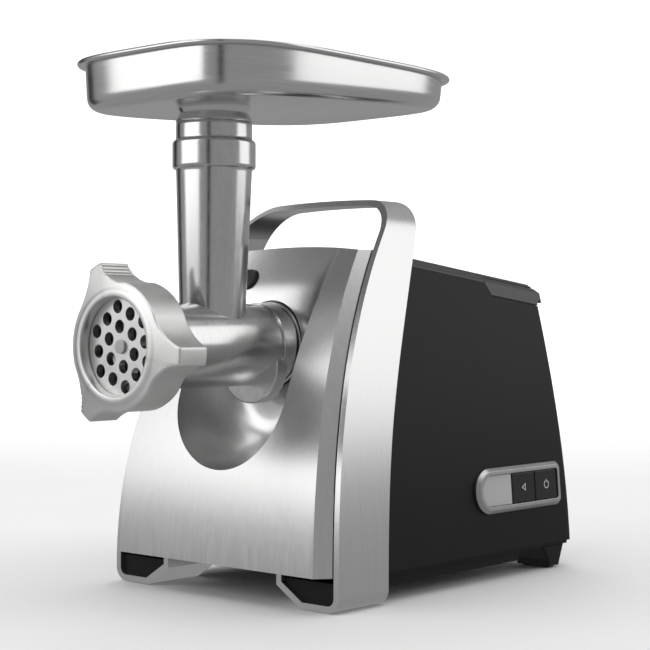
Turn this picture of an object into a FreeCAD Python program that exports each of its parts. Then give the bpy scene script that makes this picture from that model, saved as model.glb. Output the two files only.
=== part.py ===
"""Electric meat grinder: steel band frame, motor base, bayonet grinder head, tray and working drive train.

The model is built in a working frame whose Y starts at the front of the perforated disc and runs to the
back of the machine. Each sub-part's Placement moves it back by mid_depth, so that the finished machine
stands on z = 0 with its centre over the origin: +X is the operator's right, +Y the back, +Z up.
"""
import FreeCAD, Part
import math
import os
import Sketcher
from FreeCAD import Placement, Rotation, Vector

doc = FreeCAD.newDocument("meat_grinder")
sheet = doc.addObject("Spreadsheet::Sheet", "dims")
nodes = []

ALONG_Y = Rotation(Vector(1, 0, 0), -90)
ALONG_X = Rotation(Vector(0, 1, 0), 90)
# Half-width of the cutting prisms, wider than the machine.
WIDE = 130.0
# Height of the release button and its place across the pocket.
BUTTON_Z = 200.0
BUTTON_X = -27.5
# The lid's hinge: radius and half-length of its barrel, and the middles of the fixed knuckles.
BARREL_R = 2.6
HINGE_HALF = 60.0
KNUCKLES = (-40.0, 0.0, 40.0)
# Height of the cord inlet above the table.
GLAND_Z = 36.0
# Gear stages from the motor to the output shaft.
MODULES = (1.0, 1.25, 1.75)
PINIONS = (10, 12, 14)
WHEELS = (60, 54, 49)
# Direction of the two upper centre lines, from the output shaft down to the first shaft.
STAGE_ANGLES = (-42.0, -12.0)
# The locking ring's lobes, clockwise from the top as seen from the front.
LOBE_ANGLES = (-24.0, 96.0, 216.0)
# How far the locking ring's front face spreads outwards for each millimetre of depth.
RING_FACE_SLOPE = 3.9
# Turn of the knife's square and blades on the worm.
KNIFE_TURN = 20.0


# ---------------------------------------------------------------- sizes
class Size:
    """A dimension that carries its value and the sheet formula that gives it."""

    def __init__(self, value, text):
        self.value = float(value)
        self.text = text

    def __add__(self, other):
        other = as_size(other)
        return Size(self.value + other.value, "(%s + %s)" % (self.text, other.text))

    def __sub__(self, other):
        other = as_size(other)
        return Size(self.value - other.value, "(%s - %s)" % (self.text, other.text))

    def __mul__(self, other):
        other = as_size(other)
        return Size(self.value * other.value, "(%s * %s)" % (self.text, other.text))

    def __truediv__(self, other):
        other = as_size(other)
        return Size(self.value / other.value, "(%s / %s)" % (self.text, other.text))

    def __radd__(self, other):
        return as_size(other) + self

    def __rsub__(self, other):
        return as_size(other) - self

    def __rmul__(self, other):
        return as_size(other) * self

    def __neg__(self):
        return Size(-self.value, "(0 - %s)" % self.text)


def as_size(number):
    """Wrap a plain number, and let a Size pass."""
    return number if isinstance(number, Size) else Size(number, "%.6g" % number)


def val(number):
    return as_size(number).value


class Dims:
    """The driving dimensions, in millimetres and degrees, each one a named cell of the sheet."""

    TABLE = (
        ("mid_depth", 167.5),       # from the disc's front face to the middle of the machine's length
        ("axis_height", 157.35),    # worm axis above the table
        # steel band frame
        ("band_half", 98.2),        # half-width at the foot
        ("band_front", 81.9),       # depth of the band's front edge at the foot
        ("band_depth", 46.0),       # front edge to rear edge, along Y
        ("band_thick", 4.0),
        ("band_top", 251.8),        # top of the handle at its corners
        ("shoulder_height", 229.6),  # where the leg turns into the handle's corner
        ("toe_inner", 48.1),        # inner end of the foot, from the middle
        ("toe_rise", 13.1),         # height of the foot's slanted inner end
        ("toe_floor", 67.8),        # where the slant meets the floor
        ("foot_round", 9.0),
        ("pad_proud", 0.6),         # rubber below the steel band
        # front plate and its pocket
        ("plate_stand", 8.8),       # plate's face ahead of the band's front edge
        ("plate_thick", 2.0),
        ("plate_bottom", 21.3),
        ("plate_top", 220.9),
        ("pocket_half", 44.5),
        ("pocket_centre", 124.0),
        ("pocket_back", 128.0),
        # plastic base
        ("side_inset", 4.1),        # housing side inside the band's outer face
        ("wall", 2.8),
        ("base_height", 18.7),      # housing's lower edge
        ("rear_foot_y", 340.1),     # back of the housing at its lower edge
        ("cover_drop", 6.8),        # cover's skirt below the top
        ("lid_drop", 15.0),         # lid's skirt below the top
        ("lid_front", 264.3),
        # grinder head
        ("tube_r", 26.0),
        ("bore_r", 22.6),
        ("disc_r", 31.0),
        ("disc_thick", 5.0),
        ("hole_r", 4.0),
        ("hole_pitch", 11.9),
        ("ring_r", 38.5),
        ("ring_front", -6.5),
        ("ring_back", 20.2),
        ("lip_r", 29.2),
        ("lobe_r", 52.5),
        ("feed_y", 76.5),           # feed tube's axis
        ("feed_top", 295.0),
        ("feed_r", 23.7),
        # tray
        ("tray_half_x", 86.0),
        ("tray_half_y", 117.5),
        ("tray_y", 126.0),
        ("tray_top", 334.0),
        ("tray_floor", 301.5),      # underside of the floor at its front edge
        ("tray_sheet", 1.2),
        ("throat_r", 18.6),         # hole through the tray's spout
        # drive train
        ("gear_y", 148.0),          # front of the output gear
        ("motor_y", 214.0),         # front of the stator stack
        ("stack", 38.0),
        ("rotor_r", 24.3),
        # control panel
        ("panel_y", 271.9),
        ("panel_z", 60.0),
        ("panel_long", 97.7),
        ("panel_tall", 30.0),
        ("panel_proud", 4.0),
    )

    def __init__(self):
        for row, (name, number) in enumerate(self.TABLE, start=1):
            sheet.set("A%d" % row, name)
            sheet.set("B%d" % row, "%.6g" % number)
            sheet.setAlias("B%d" % row, name)
            setattr(self, name, Size(number, "dims." + name))


d = Dims()
doc.recompute()


# ---------------------------------------------------------------- document helpers
def bind(obj, prop, size):
    """Tie a property to the sheet, or set it where the size is a plain number."""
    if isinstance(size, Size):
        obj.setExpression(prop, size.text)
    elif "." in prop:
        obj.setExpression(prop, "%.6g" % size)
    else:
        setattr(obj, prop, size)


def place(obj, x=0, y=0, z=0, turn=None):
    if turn is not None:
        obj.Placement = Placement(Vector(0, 0, 0), turn)
    for axis, size in zip("xyz", (x, y, z)):
        bind(obj, "Placement.Base." + axis, size)
    return obj


def node(name, obj):
    """Name a finished sub-part and move it to the machine's own origin."""
    if obj.TypeId in ("Part::Cylinder", "Part::Cone", "Part::Box", "Part::Prism"):
        obj = group(obj)
    obj.Label = name
    bind(obj, "Placement.Base.y", -d.mid_depth)
    nodes.append((name, obj))
    return obj


def cylinder(radius, length, x=0, y=0, z=0, turn=ALONG_Y):
    obj = doc.addObject("Part::Cylinder", "cylinder")
    bind(obj, "Radius", radius)
    bind(obj, "Height", length)
    return place(obj, x, y, z, turn)


def cone(radius_a, radius_b, length, x=0, y=0, z=0, turn=ALONG_Y):
    obj = doc.addObject("Part::Cone", "cone")
    bind(obj, "Radius1", radius_a)
    bind(obj, "Radius2", radius_b)
    bind(obj, "Height", length)
    return place(obj, x, y, z, turn)


def box(size, corner, turn=None):
    obj = doc.addObject("Part::Box", "box")
    for prop, number in zip(("Length", "Width", "Height"), size):
        bind(obj, prop, number)
    return place(obj, *corner, turn=turn)


def prism(sides, radius, length, x=0, y=0, z=0, turn=ALONG_Y):
    obj = doc.addObject("Part::Prism", "prism")
    obj.Polygon = sides
    bind(obj, "Circumradius", radius)
    bind(obj, "Height", length)
    return place(obj, x, y, z, turn)


def fuse(*parts):
    obj = doc.addObject("Part::MultiFuse", "fuse")
    obj.Shapes = list(parts)
    return obj


def group(*parts):
    """Separate solids kept as one sub-part."""
    obj = doc.addObject("Part::Compound", "group")
    obj.Links = list(parts)
    return obj


def cut(base, *tools):
    obj = doc.addObject("Part::Cut", "cut")
    obj.Base = base
    obj.Tool = tools[0] if len(tools) == 1 else group(*tools)
    return obj


def common(*parts):
    obj = doc.addObject("Part::MultiCommon", "common")
    obj.Shapes = list(parts)
    return obj


def solid(shape, name="shape"):
    """A free-form solid that the primitives and sketches don't suit."""
    obj = doc.addObject("Part::Feature", name)
    obj.Shape = Part.makeCompound(shape.Solids)
    return obj


def plane_of(body, role):
    return next(item for item in body.Origin.OriginFeatures if item.Role == role)


def sketch_on(body, role, corners):
    """A closed straight-sided sketch on one of the body's own planes, each corner tied to the sheet."""
    sketch = body.newObject("Sketcher::SketchObject", "profile")
    sketch.AttachmentSupport = [(plane_of(body, role), "")]
    sketch.MapMode = "FlatFace"
    count = len(corners)
    points = [Vector(val(u), val(v), 0) for u, v in corners]
    for index in range(count):
        sketch.addGeometry(Part.LineSegment(points[index], points[(index + 1) % count]), False)
    for index in range(count):
        sketch.addConstraint(Sketcher.Constraint("Coincident", index, 2, (index + 1) % count, 1))
    for index, corner in enumerate(corners):
        for kind, size, other_axis in (("DistanceX", corner[0], -2), ("DistanceY", corner[1], -1)):
            if val(size) == 0:
                sketch.addConstraint(Sketcher.Constraint("PointOnObject", index, 1, other_axis))
                continue
            number = sketch.addConstraint(Sketcher.Constraint(kind, -1, 1, index, 1, val(size)))
            if isinstance(size, Size):
                sketch.setExpression("Constraints[%d]" % number, size.text)
    return sketch


def body_at(name, x=0, y=0, z=0):
    """A PartDesign body whose own origin stands at (x, y, z) of the working frame."""
    body = doc.addObject("PartDesign::Body", name)
    body.Label = name
    place(body, x, y - d.mid_depth, z)
    nodes.append((name, body))
    return body


def turned(name, corners, x=0, z=0):
    """A body of revolution about a line along Y: corners are (radius, y)."""
    body = body_at(name, x, Size(0, "0"), z)
    sketch = sketch_on(body, "XY_Plane", corners)
    turn = body.newObject("PartDesign::Revolution", "turned")
    turn.Profile = sketch
    turn.ReferenceAxis = (sketch, ["V_Axis"])
    turn.Angle = 360
    body.Tip = turn
    return body


def plate(name, corners, y, thickness, x=0, z=0):
    """A flat body standing across Y: corners are (x, z), its front face is at y."""
    body = body_at(name, x, as_size(y), z)
    sketch = sketch_on(body, "XZ_Plane", corners)
    pad = body.newObject("PartDesign::Pad", "pad")
    pad.Profile = sketch
    bind(pad, "Length", thickness)
    pad.Reversed = True
    body.Tip = pad
    return body


# ---------------------------------------------------------------- shape helpers
def wire_of(*edges):
    return Part.Wire([edge.toShape() if hasattr(edge, "toShape") else edge for edge in edges])


def line(a, b):
    return Part.LineSegment(a, b)


def spline(points):
    curve = Part.BSplineCurve()
    curve.interpolate(points)
    return curve


def steps(low, high, count):
    return [low + (high - low) * index / (count - 1) for index in range(count)]


def flank(z):
    """Half-width of the band's outer face at height z: the legs curve in towards the handle."""
    rise = z - 10.0
    return d.band_half.value - 0.8e-3 * rise ** 2 + 0.8e-6 * rise ** 3


def lean(z):
    """Depth of the band's front edge at height z: the legs lean back towards the handle."""
    rise = z - 10.0
    return d.band_front.value + 1.1e-3 * rise ** 2 + 2.4e-6 * rise ** 3


def band_rear(z):
    """Depth of the band's rear edge: the band narrows to the handle."""
    narrowing = 18.0 * (max(z - 110.0, 0.0) / 131.0) ** 3
    return lean(z) + d.band_depth.value - narrowing


def top_line(y):
    """Height of the top cover's upper face, which falls towards the back."""
    return 219.5 - 0.1165 * (y - 143.0)


def rear_line(z):
    """Depth of the housing's back wall, which leans forward."""
    return d.rear_foot_y.value - 0.067 * (z - d.base_height.value)


def across_y(wire, low, high):
    """Extrude an outline drawn in the XZ plane from one depth to another."""
    face = Part.Face(wire)
    face.translate(Vector(0, low, 0))
    return face.extrude(Vector(0, high - low, 0))


def across_x(wire, half):
    """Extrude an outline drawn in the YZ plane evenly to both sides."""
    face = Part.Face(wire)
    face.translate(Vector(-half, 0, 0))
    return face.extrude(Vector(2 * half, 0, 0))


# ---------------------------------------------------------------- band frame and feet
def band_outline(inset):
    """Front view of the band: up one leg, over the handle and down the other, inset from its outer face."""
    toe, rise, floor = d.toe_inner.value, d.toe_rise.value, d.toe_floor.value
    sole = d.pad_proud.value
    foot = d.foot_round.value
    half = d.band_half.value
    shoulder = d.shoulder_height.value
    top = d.band_top.value
    inner_top = 24.0

    def leg(side):
        heights = steps(foot + sole, shoulder, 9)
        points = [Vector(side * (flank(z) - inset), 0, z) for z in heights]
        corner_mid = Vector(side * (57.8 - 0.8 * inset), 0, top - 6.5 - 0.6 * inset)
        corner_end = Vector(side * 40.4, 0, top - inset)
        toe_top = Vector(side * (toe + inset), 0, inner_top)
        slant_top = Vector(side * (toe + inset), 0, rise + 0.535 * inset)
        slant_foot = Vector(side * (floor + 0.303 * inset), 0, sole + inset)
        centre = Vector(side * (half - foot), 0, sole + foot)
        round_start = centre + Vector(0, 0, inset - foot)
        round_mid = centre + Vector(side, 0, -1).multiply((foot - inset) * math.sqrt(0.5))
        return [
            line(toe_top, slant_top),
            line(slant_top, slant_foot),
            line(slant_foot, round_start),
            Part.Arc(round_start, round_mid, points[0]),
            spline(points),
            Part.Arc(points[-1], corner_mid, corner_end),
        ]

    right = leg(1)
    left = leg(-1)
    over = Part.Arc(Vector(40.4, 0, top - inset), Vector(0, 0, top + 1.0 - inset), Vector(-40.4, 0, top - inset))
    under = line(Vector(-(toe + inset), 0, inner_top), Vector(toe + inset, 0, inner_top))
    edges = [curve.toShape() for curve in right + [over] + left + [under]]
    return Part.Wire(Part.__sortEdges__(edges))


def side_slab(front, rear, low, high):
    """Solid between a front and a rear depth curve, over the machine's whole width."""
    heights = steps(low, high, 11)
    front_points = [Vector(0, front(z), z) for z in heights]
    rear_points = [Vector(0, rear(z), z) for z in heights]
    wire = wire_of(
        spline(front_points),
        line(front_points[-1], rear_points[-1]),
        spline(rear_points[::-1]),
        line(rear_points[0], front_points[0]),
    )
    return across_x(wire, WIDE)


def make_band():
    outer = across_y(band_outline(0.0), 60, 230)
    inner = across_y(band_outline(d.band_thick.value), 59, 231)
    slab = side_slab(lean, band_rear, -1.0, 256.0)
    band = outer.cut(inner).common(slab)
    toe = d.toe_inner.value
    band = band.cut(Part.makeBox(2 * toe, 200, 30, Vector(-toe, 50, -2)))
    heel = Part.makeBox(2 * WIDE, 12, 12, Vector(-WIDE, d.band_front.value + d.band_depth.value - 7, -11.4))
    node("frame_band", solid(band.cut(heel)))


def make_foot_blocks():
    """Plastic blocks that fill the band's two hollow feet, under the housing."""
    inner = across_y(band_outline(d.band_thick.value), 59, 231)
    recess = 3.0
    slab = side_slab(lambda z: lean(z) + recess, lambda z: band_rear(z) - recess, -1.0, 60.0)
    below = Part.makeBox(2 * WIDE, 200, 19.6, Vector(-WIDE, 50, -2))
    block = inner.common(slab).common(below)
    toe = d.toe_inner.value
    for side, name in ((-1, "left_foot_block"), (1, "right_foot_block")):
        low = toe if side > 0 else -WIDE
        half = block.common(Part.makeBox(WIDE - toe, 200, 60, Vector(low, 50, -5)))
        node(name, solid(half))


def make_front_pads():
    pads = []
    for side in (-1, 1):
        middle = side * (d.toe_floor + d.band_half - d.foot_round) / 2 - 8
        pads.append(box((16, 28, d.pad_proud), (middle, d.band_front + 9, 0)))
    node("front_foot_pads", group(*pads))


# ---------------------------------------------------------------- front plate
def plate_section(z, inset, depth):
    """Plan view of the front plate at height z: flat face, slanted cheeks and straight sides."""
    side = flank(z) - 7.0 - inset
    face = flank(z) - 12.6 + 0.018 * (z - 22.0) - 0.7 * inset
    front = lean(z) - d.plate_stand.value + inset
    cheek = lean(z) + 0.5 * inset
    half = [Vector(side, lean(z) + depth, z), Vector(side, cheek, z), Vector(face, front, z)]
    points = half + [Vector(-p.x, p.y, p.z) for p in half[::-1]]
    return Part.makePolygon(points + [points[0]])


def plate_block(inset, low, depth):
    sections = [plate_section(z, inset, depth) for z in steps(low, 226.0, 8)]
    return Part.makeLoft(sections, True, False)


def pocket_block(grow, low_y):
    """The U-shaped pocket that the grinder head stands in, open at the top of the plate."""
    half = d.pocket_half.value + grow
    centre = d.pocket_centre.value
    top = 240.0
    outline = wire_of(
        line(Vector(half, 0, top), Vector(half, 0, centre)),
        Part.Arc(Vector(half, 0, centre), Vector(0, 0, centre - half), Vector(-half, 0, centre)),
        line(Vector(-half, 0, centre), Vector(-half, 0, top)),
        line(Vector(-half, 0, top), Vector(half, 0, top)),
    )
    back = d.pocket_back.value + grow
    shallow = 5.0 - d.plate_stand.value + grow
    straight_top = Vector(0, back, 170.0)
    upper = [Vector(0, lean(z) + shallow, z) for z in (202.0, 214.0, 227.0, 242.0)]
    bend = Part.BSplineCurve()
    bend.interpolate(Points=[straight_top] + upper, InitialTangent=Vector(0, 0, 1), FinalTangent=Vector(0, 1, 1.2))
    side = wire_of(
        line(Vector(0, back, 60.0), straight_top),
        bend,
        line(upper[-1], Vector(0, low_y, 242.0)),
        line(Vector(0, low_y, 242.0), Vector(0, low_y, 60.0)),
        line(Vector(0, low_y, 60.0), Vector(0, back, 60.0)),
    )
    block = across_y(outline, low_y, 200.0).common(across_x(side, WIDE))
    corners = [
        edge for edge in block.Edges
        if edge.BoundBox.YMin > d.pocket_back.value - 1.0 and edge.BoundBox.ZMin < 200.0
    ]
    return block.makeFillet(12.0, corners)


def plate_crown():
    """Everything above the plate's slightly arched top edge."""
    top = d.plate_top.value
    droop = 4.9
    wire = wire_of(
        Part.Arc(Vector(-73.5, 0, top - droop), Vector(0, 0, top), Vector(73.5, 0, top - droop)),
        line(Vector(73.5, 0, top - droop), Vector(WIDE, 0, top - 3 * droop)),
        line(Vector(WIDE, 0, top - 3 * droop), Vector(WIDE, 0, 300.0)),
        line(Vector(WIDE, 0, 300.0), Vector(-WIDE, 0, 300.0)),
        line(Vector(-WIDE, 0, 300.0), Vector(-WIDE, 0, top - 3 * droop)),
        line(Vector(-WIDE, 0, top - 3 * droop), Vector(-73.5, 0, top - droop)),
    )
    return across_y(wire, 40.0, 220.0)


def button_frame():
    """Place of the release button: on the pocket's leaning upper back, facing out of it."""
    height = BUTTON_Z
    depth = lean(height) + 5.0 - d.plate_stand.value
    slope = math.degrees(math.atan(lean(height + 0.5) - lean(height - 0.5)))
    return Placement(Vector(BUTTON_X, depth, height), Rotation(Vector(1, 0, 0), 90 - slope))


def oval(long, tall, thick, lift):
    """Rounded-end bar lying across X, standing thick along its own z from lift."""
    reach = (long - tall) / 2
    radius = tall / 2
    bar = Part.makeBox(2 * reach, tall, thick, Vector(-reach, -radius, lift))
    ends = [Part.makeCylinder(radius, thick, Vector(side * reach, 0, lift)) for side in (-1, 1)]
    return bar.multiFuse(ends).removeSplitter()


def make_front_plate():
    """Sheet front with its returns, and the pocket's lining behind it."""
    low = d.plate_bottom.value
    sheet_metal = plate_block(0.0, low, 5.0).cut(plate_block(d.plate_thick.value, low - 2.0, 6.0))
    lining = pocket_block(d.plate_thick.value, 40.0).common(plate_block(0.0, low, 90.0))
    shell = sheet_metal.fuse(lining).cut(pocket_block(0.0, 40.0)).cut(plate_crown())
    hub = Part.makeCylinder(28.6, 40, Vector(0, 110, d.axis_height.value), Vector(0, 1, 0))
    key = oval(18.8, 15.8, 30, -15)
    key.Placement = button_frame()
    node("front_plate", solid(shell.cut(hub).cut(key)))


def make_release_button():
    """Oval key above the coupling, pushed in to free the grinder head."""
    key = oval(18.0, 15.0, 4.4, -2.2)
    rim = [edge for edge in key.Edges if edge.BoundBox.ZMin > 2.1]
    key = key.makeFillet(1.6, rim)
    key.Placement = button_frame()
    node("release_button", solid(key))


def make_plate_surround():
    """Dark frame behind the plate's returns, closing the gap to the band down to the foot blocks."""
    side = side_slab(lambda z: lean(z) + 3.0, lambda z: lean(z) + 9.0, 22.0, 214.0)
    outer = across_y(band_outline(d.band_thick.value + 0.05), 59, 231)
    back = d.wall.value + d.side_inset.value + 4.5
    inner = across_y(flank_outline(back, 10.0, 240.0), 59, 231)
    frame = outer.common(side).cut(inner).cut(plate_block(-0.05, 15.0, 5.05))
    node("plate_surround", solid(frame))


# ---------------------------------------------------------------- plastic base
def flank_outline(inset, low, high):
    """Front view of a body whose sides keep the band's curve, inset from its outer face."""
    heights = steps(low, high, 9)
    right = [Vector(flank(z) - inset, 0, z) for z in heights]
    left = [Vector(-p.x, 0, p.z) for p in right[::-1]]
    return wire_of(spline(right), line(right[-1], left[0]), spline(left), line(left[-1], right[0]))


def body_side(front, low, rear_inset, upper):
    """Side view of the base: leaning front and back, and an upper edge given as (y, z) from back to front."""
    start = upper[-1]
    heights = steps(low, start[1], 9)
    front_points = [Vector(0, front(z), z) for z in heights]
    front_points[-1] = Vector(0, start[0], start[1])
    corner = Vector(0, rear_line(low) - rear_inset, low)
    edge = [Vector(0, y, z) for y, z in upper]
    lines = [line(a, b) for a, b in zip([corner] + edge, edge)]
    return wire_of(spline(front_points), line(front_points[0], corner), *lines)


def seam_edges(drop_front, drop_rear, inset):
    """Upper edge of the housing wall: a step down under the storage lid."""
    front_y = d.lid_front.value
    rear_z = top_line(rear_line(183.0)) - drop_rear
    rear_y = rear_line(rear_z) - inset
    front_z = 203.0
    for _ in range(20):
        front_z = top_line(base_front(front_z)) - drop_front
    start_y = base_front(front_z)
    return [
        (rear_y, top_line(rear_y) - drop_rear),
        (front_y + 6.0 + inset, top_line(front_y + 6.0) - drop_rear),
        (front_y + inset, top_line(front_y) - drop_front),
        (start_y, top_line(start_y) - drop_front),
    ]


def base_front(z):
    return lean(z) + 9.2


def round_back(shape, radius, low):
    """Round the two upright rear edges."""
    rear = [
        edge for edge in shape.Edges
        if edge.BoundBox.YMin > 310.0 and edge.BoundBox.ZLength > 60.0 and edge.BoundBox.ZMin < low + 2.0
    ]
    return shape.makeFillet(radius, rear)


def make_housing():
    """Side and back walls of the base as one moulding, open to the front, the top and the bottom."""
    low = d.base_height.value
    inset = d.side_inset.value
    wall = d.wall.value
    drop, lid = d.cover_drop.value, d.lid_drop.value
    outer = across_y(flank_outline(inset, 10.0, 240.0), 60.0, 360.0).common(
        across_x(body_side(base_front, low, 0.0, seam_edges(drop, lid, 0.0)), WIDE))
    outer = round_back(outer, 8.0, low)
    inner = across_y(flank_outline(inset + wall, 10.0, 240.0), 60.0, 360.0).common(
        across_x(tall_side(low - 5.0, wall), WIDE))
    inner = round_back(inner, 5.5, low - 5.0)
    shell = outer.cut(inner)
    y, z = hinge_line()
    groove = Part.makeCylinder(BARREL_R + 0.4, 2 * WIDE, Vector(-WIDE, y, z), Vector(1, 0, 0))
    shell = shell.cut(panel_window(0.15)).cut(gland_hole()).cut(groove)
    node("main_housing", solid(shell))


def tall_side(low, inset):
    """Side view of the housing's hollow: through the top and the front."""
    rear_low = Vector(0, rear_line(low) - inset, low)
    rear_high = Vector(0, rear_line(260.0) - inset, 260.0)
    front_low = Vector(0, 60.0, low)
    front_high = Vector(0, 60.0, 260.0)
    return wire_of(line(front_low, rear_low), line(rear_low, rear_high),
                   line(rear_high, front_high), line(front_high, front_low))


def cap_block(inset, lift, drop, front_y, rear_gap):
    """Block between the top face and a line a given drop below it, with the base's side curve."""
    rear = 360.0
    points = [
        Vector(0, front_y, top_line(front_y) - drop),
        Vector(0, rear, top_line(rear) - drop),
        Vector(0, rear, top_line(rear) - lift),
        Vector(0, front_y, top_line(front_y) - lift),
    ]
    wire = Part.makePolygon(points + [points[0]])
    block = across_y(flank_outline(d.side_inset.value + inset, 10.0, 240.0), 60.0, 360.0)
    block = block.common(across_x(wire, WIDE))
    back = tall_side(0.0, rear_gap)
    return block.common(across_x(back, WIDE))


def make_top_cover():
    """Front part of the top: a cap with a bevelled rim, reaching forward under the handle."""
    drop = d.cover_drop.value
    gap = 0.3
    join = d.lid_front.value
    front = 146.5
    cap = cap_block(0.0, 0.0, drop, front, 0.0)
    bevel = 5.5
    rim = [edge for edge in cap.Edges if is_top_side(edge)]
    cap = cap.makeChamfer(bevel, rim)
    hollow = cap_block(3.0, 2.6, drop + 1.0, front - 1.0, 3.0)
    cap = cap.cut(hollow)
    behind = Part.makeBox(2 * WIDE, 120, 90, Vector(-WIDE, join - gap, 150))
    ahead = side_slab(lambda z: 60.0, lambda z: lean(z) + 9.2, 190.0, 226.0)
    band_room = across_y(band_outline(d.band_thick.value + 0.3), 59, 300)
    outside_band = side_slab(lean, lambda z: band_rear(z) + 0.3, 150.0, 250.0).cut(band_room)
    node("top_cover", solid(cap.cut(behind).cut(ahead).cut(outside_band)))


def is_top_side(edge):
    """True for the two long upper edges of a cap."""
    box_of = edge.BoundBox
    return box_of.YLength > 50.0 and box_of.XMin * box_of.XMax > 0 and near_top(edge)


def near_top(edge):
    point = edge.Vertexes[0].Point
    return abs(point.z - top_line(point.y)) < 0.2


def lid_front_plane(gap):
    """Everything ahead of the lid's slanting front seam."""
    front = d.lid_front.value + gap
    foot = front + 6.0
    wire = Part.makePolygon([
        Vector(0, 60.0, 120.0), Vector(0, foot + 6.0, 120.0), Vector(0, foot, top_line(foot) - d.lid_drop.value),
        Vector(0, front, top_line(front) - d.cover_drop.value), Vector(0, front, 240.0),
        Vector(0, 60.0, 240.0), Vector(0, 60.0, 120.0),
    ])
    return across_x(wire, WIDE)


def make_lid():
    """Storage lid: bevelled cap with a deeper skirt and a hinge barrel along its back edge."""
    drop = d.lid_drop.value - 0.4
    cap = cap_block(0.0, 0.0, drop, 200.0, 0.0)
    rims = [edge for edge in cap.Edges if is_top_side(edge) or is_back_rim(edge)]
    cap = cap.makeChamfer(5.5, rims).cut(lid_front_plane(0.0))
    hollow = cap_block(2.6, 2.4, drop + 1.0, 200.0, 2.6).cut(lid_front_plane(2.6))
    y, z = hinge_line()
    heel = Part.makeBox(2 * WIDE, 40, 40, Vector(-WIDE, y - BARREL_R, z - 40))
    shell = cap.cut(hollow).cut(heel)
    long = HINGE_HALF
    web = Part.makeBox(2 * long, BARREL_R, 3.0, Vector(-long, y - 0.5, z))
    barrel = Part.makeCylinder(BARREL_R, 2 * long, Vector(-long, y, z), Vector(1, 0, 0)).fuse(web)
    for middle in KNUCKLES:
        barrel = barrel.cut(Part.makeBox(14.8, 12, 12, Vector(middle - 7.4, y - 6, z - 6)))
        shell = shell.cut(Part.makeCylinder(2.9, 14.8, Vector(middle - 7.4, y, z), Vector(1, 0, 0)))
    pin_hole = Part.makeCylinder(1.55, 200, Vector(-100, y, z), Vector(1, 0, 0))
    node("storage_lid", solid(shell.fuse(barrel).cut(pin_hole)))


def is_back_rim(edge):
    box_of = edge.BoundBox
    return box_of.XLength > 60.0 and box_of.YMin > 300.0 and near_top(edge)


def hinge_line():
    """Depth and height of the lid's hinge axis, over the top of the back wall."""
    z = top_line(327.0) - d.lid_drop.value + 2.4
    return rear_line(z) - BARREL_R + 0.2, z


# ---------------------------------------------------------------- control panel
def panel_frame():
    """Place of the control panel: on the right wall, its own z pointing out of it."""
    z = d.panel_z.value
    slope = math.degrees(math.atan((flank(z - 1.0) - flank(z + 1.0)) / 2.0))
    spot = Vector(flank(z) - d.side_inset.value, d.panel_y.value, z)
    return Placement(spot, Rotation(Vector(0, 1, 0), 90 - slope))


def panel_outline(inset, thick, lift):
    """Bar with a round front end and small corners behind: local x points down, local y back."""
    half_long = d.panel_long.value / 2 - inset
    half_tall = d.panel_tall.value / 2 - inset
    corner = max(5.0 - inset * 0.6, 1.0)
    bar = Part.makeBox(2 * half_tall, 2 * half_long - half_tall, thick,
                       Vector(-half_tall, half_tall - half_long, lift))
    rear = [e for e in bar.Edges if abs(e.BoundBox.YMin - half_long) < 0.01 and e.BoundBox.ZLength > thick * 0.9]
    bar = bar.makeFillet(corner, rear)
    nose = Part.makeCylinder(half_tall, thick, Vector(0, half_tall - half_long, lift))
    return bar.fuse(nose).removeSplitter()


def in_panel(shape):
    shape.Placement = panel_frame()
    return shape


def panel_window(gap):
    return in_panel(panel_outline(2.7 - gap, 20.0, -10.0))


def make_panel():
    """Raised bezel with a fixed inlay and two push keys, and the board with its switches behind."""
    proud = d.panel_proud.value
    bezel = panel_outline(0.0, proud, 0.05)
    outer_rim = [e for e in bezel.Edges if e.BoundBox.ZMin > proud]
    bezel = bezel.makeChamfer(2.2, outer_rim)
    sleeve = panel_outline(2.9, proud + 4.0, -4.5)
    bezel = bezel.fuse(sleeve).cut(panel_outline(4.6, 30.0, -15.0))
    node("panel_bezel", solid(in_panel(bezel)))

    window_half = d.panel_long.value / 2 - 4.6
    key_tall = d.panel_tall.value - 9.2 - 0.6
    face = proud - 0.9
    keys = (("power_button", window_half - 26.5), ("reverse_button", window_half - 53.5))
    for name, start in keys:
        width = 26.2
        key = panel_outline(4.9, 6.0, face - 6.0) if name == "power_button" else None
        block = Part.makeBox(key_tall, width, 6.0, Vector(-key_tall / 2, start, face - 6.0))
        key = key.common(block) if key else block
        stem = Part.makeBox(5, 5, 4.0, Vector(-2.5, start + width / 2 - 2.5, face - 9.9))
        key = key.fuse(stem)
        top = [e for e in key.Edges if e.BoundBox.ZMin > face - 0.01]
        node(name, solid(in_panel(key.makeFillet(0.7, top))))

    inlay = panel_outline(4.65, 5.0, face - 5.4)
    inlay_end = window_half - 54.0
    inlay = inlay.common(Part.makeBox(60, 80, 30, Vector(-30, inlay_end - 80, -15)))
    top = [e for e in inlay.Edges if e.BoundBox.ZMin > face - 0.41]
    node("panel_inlay", solid(in_panel(inlay.makeFillet(0.6, top))))

    board_lift = face - 20.0
    board = Part.makeBox(26, 84, 1.6, Vector(-13, -40, board_lift))
    node("control_board", solid(in_panel(board)))
    switches = []
    for start in (window_half - 26.5, window_half - 53.5):
        middle = start + 13.1
        case = Part.makeBox(8, 8, 5.0, Vector(-4, middle - 4, board_lift + 1.6))
        dome = Part.makeCylinder(1.8, 0.9, Vector(0, middle, board_lift + 6.6))
        switches.append(in_panel(case.fuse(dome)))
    node("key_switches", solid(Part.makeCompound(switches)))


# ---------------------------------------------------------------- cord inlet
def gland_spot():
    return Vector(48.0, rear_line(GLAND_Z), GLAND_Z)


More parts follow.
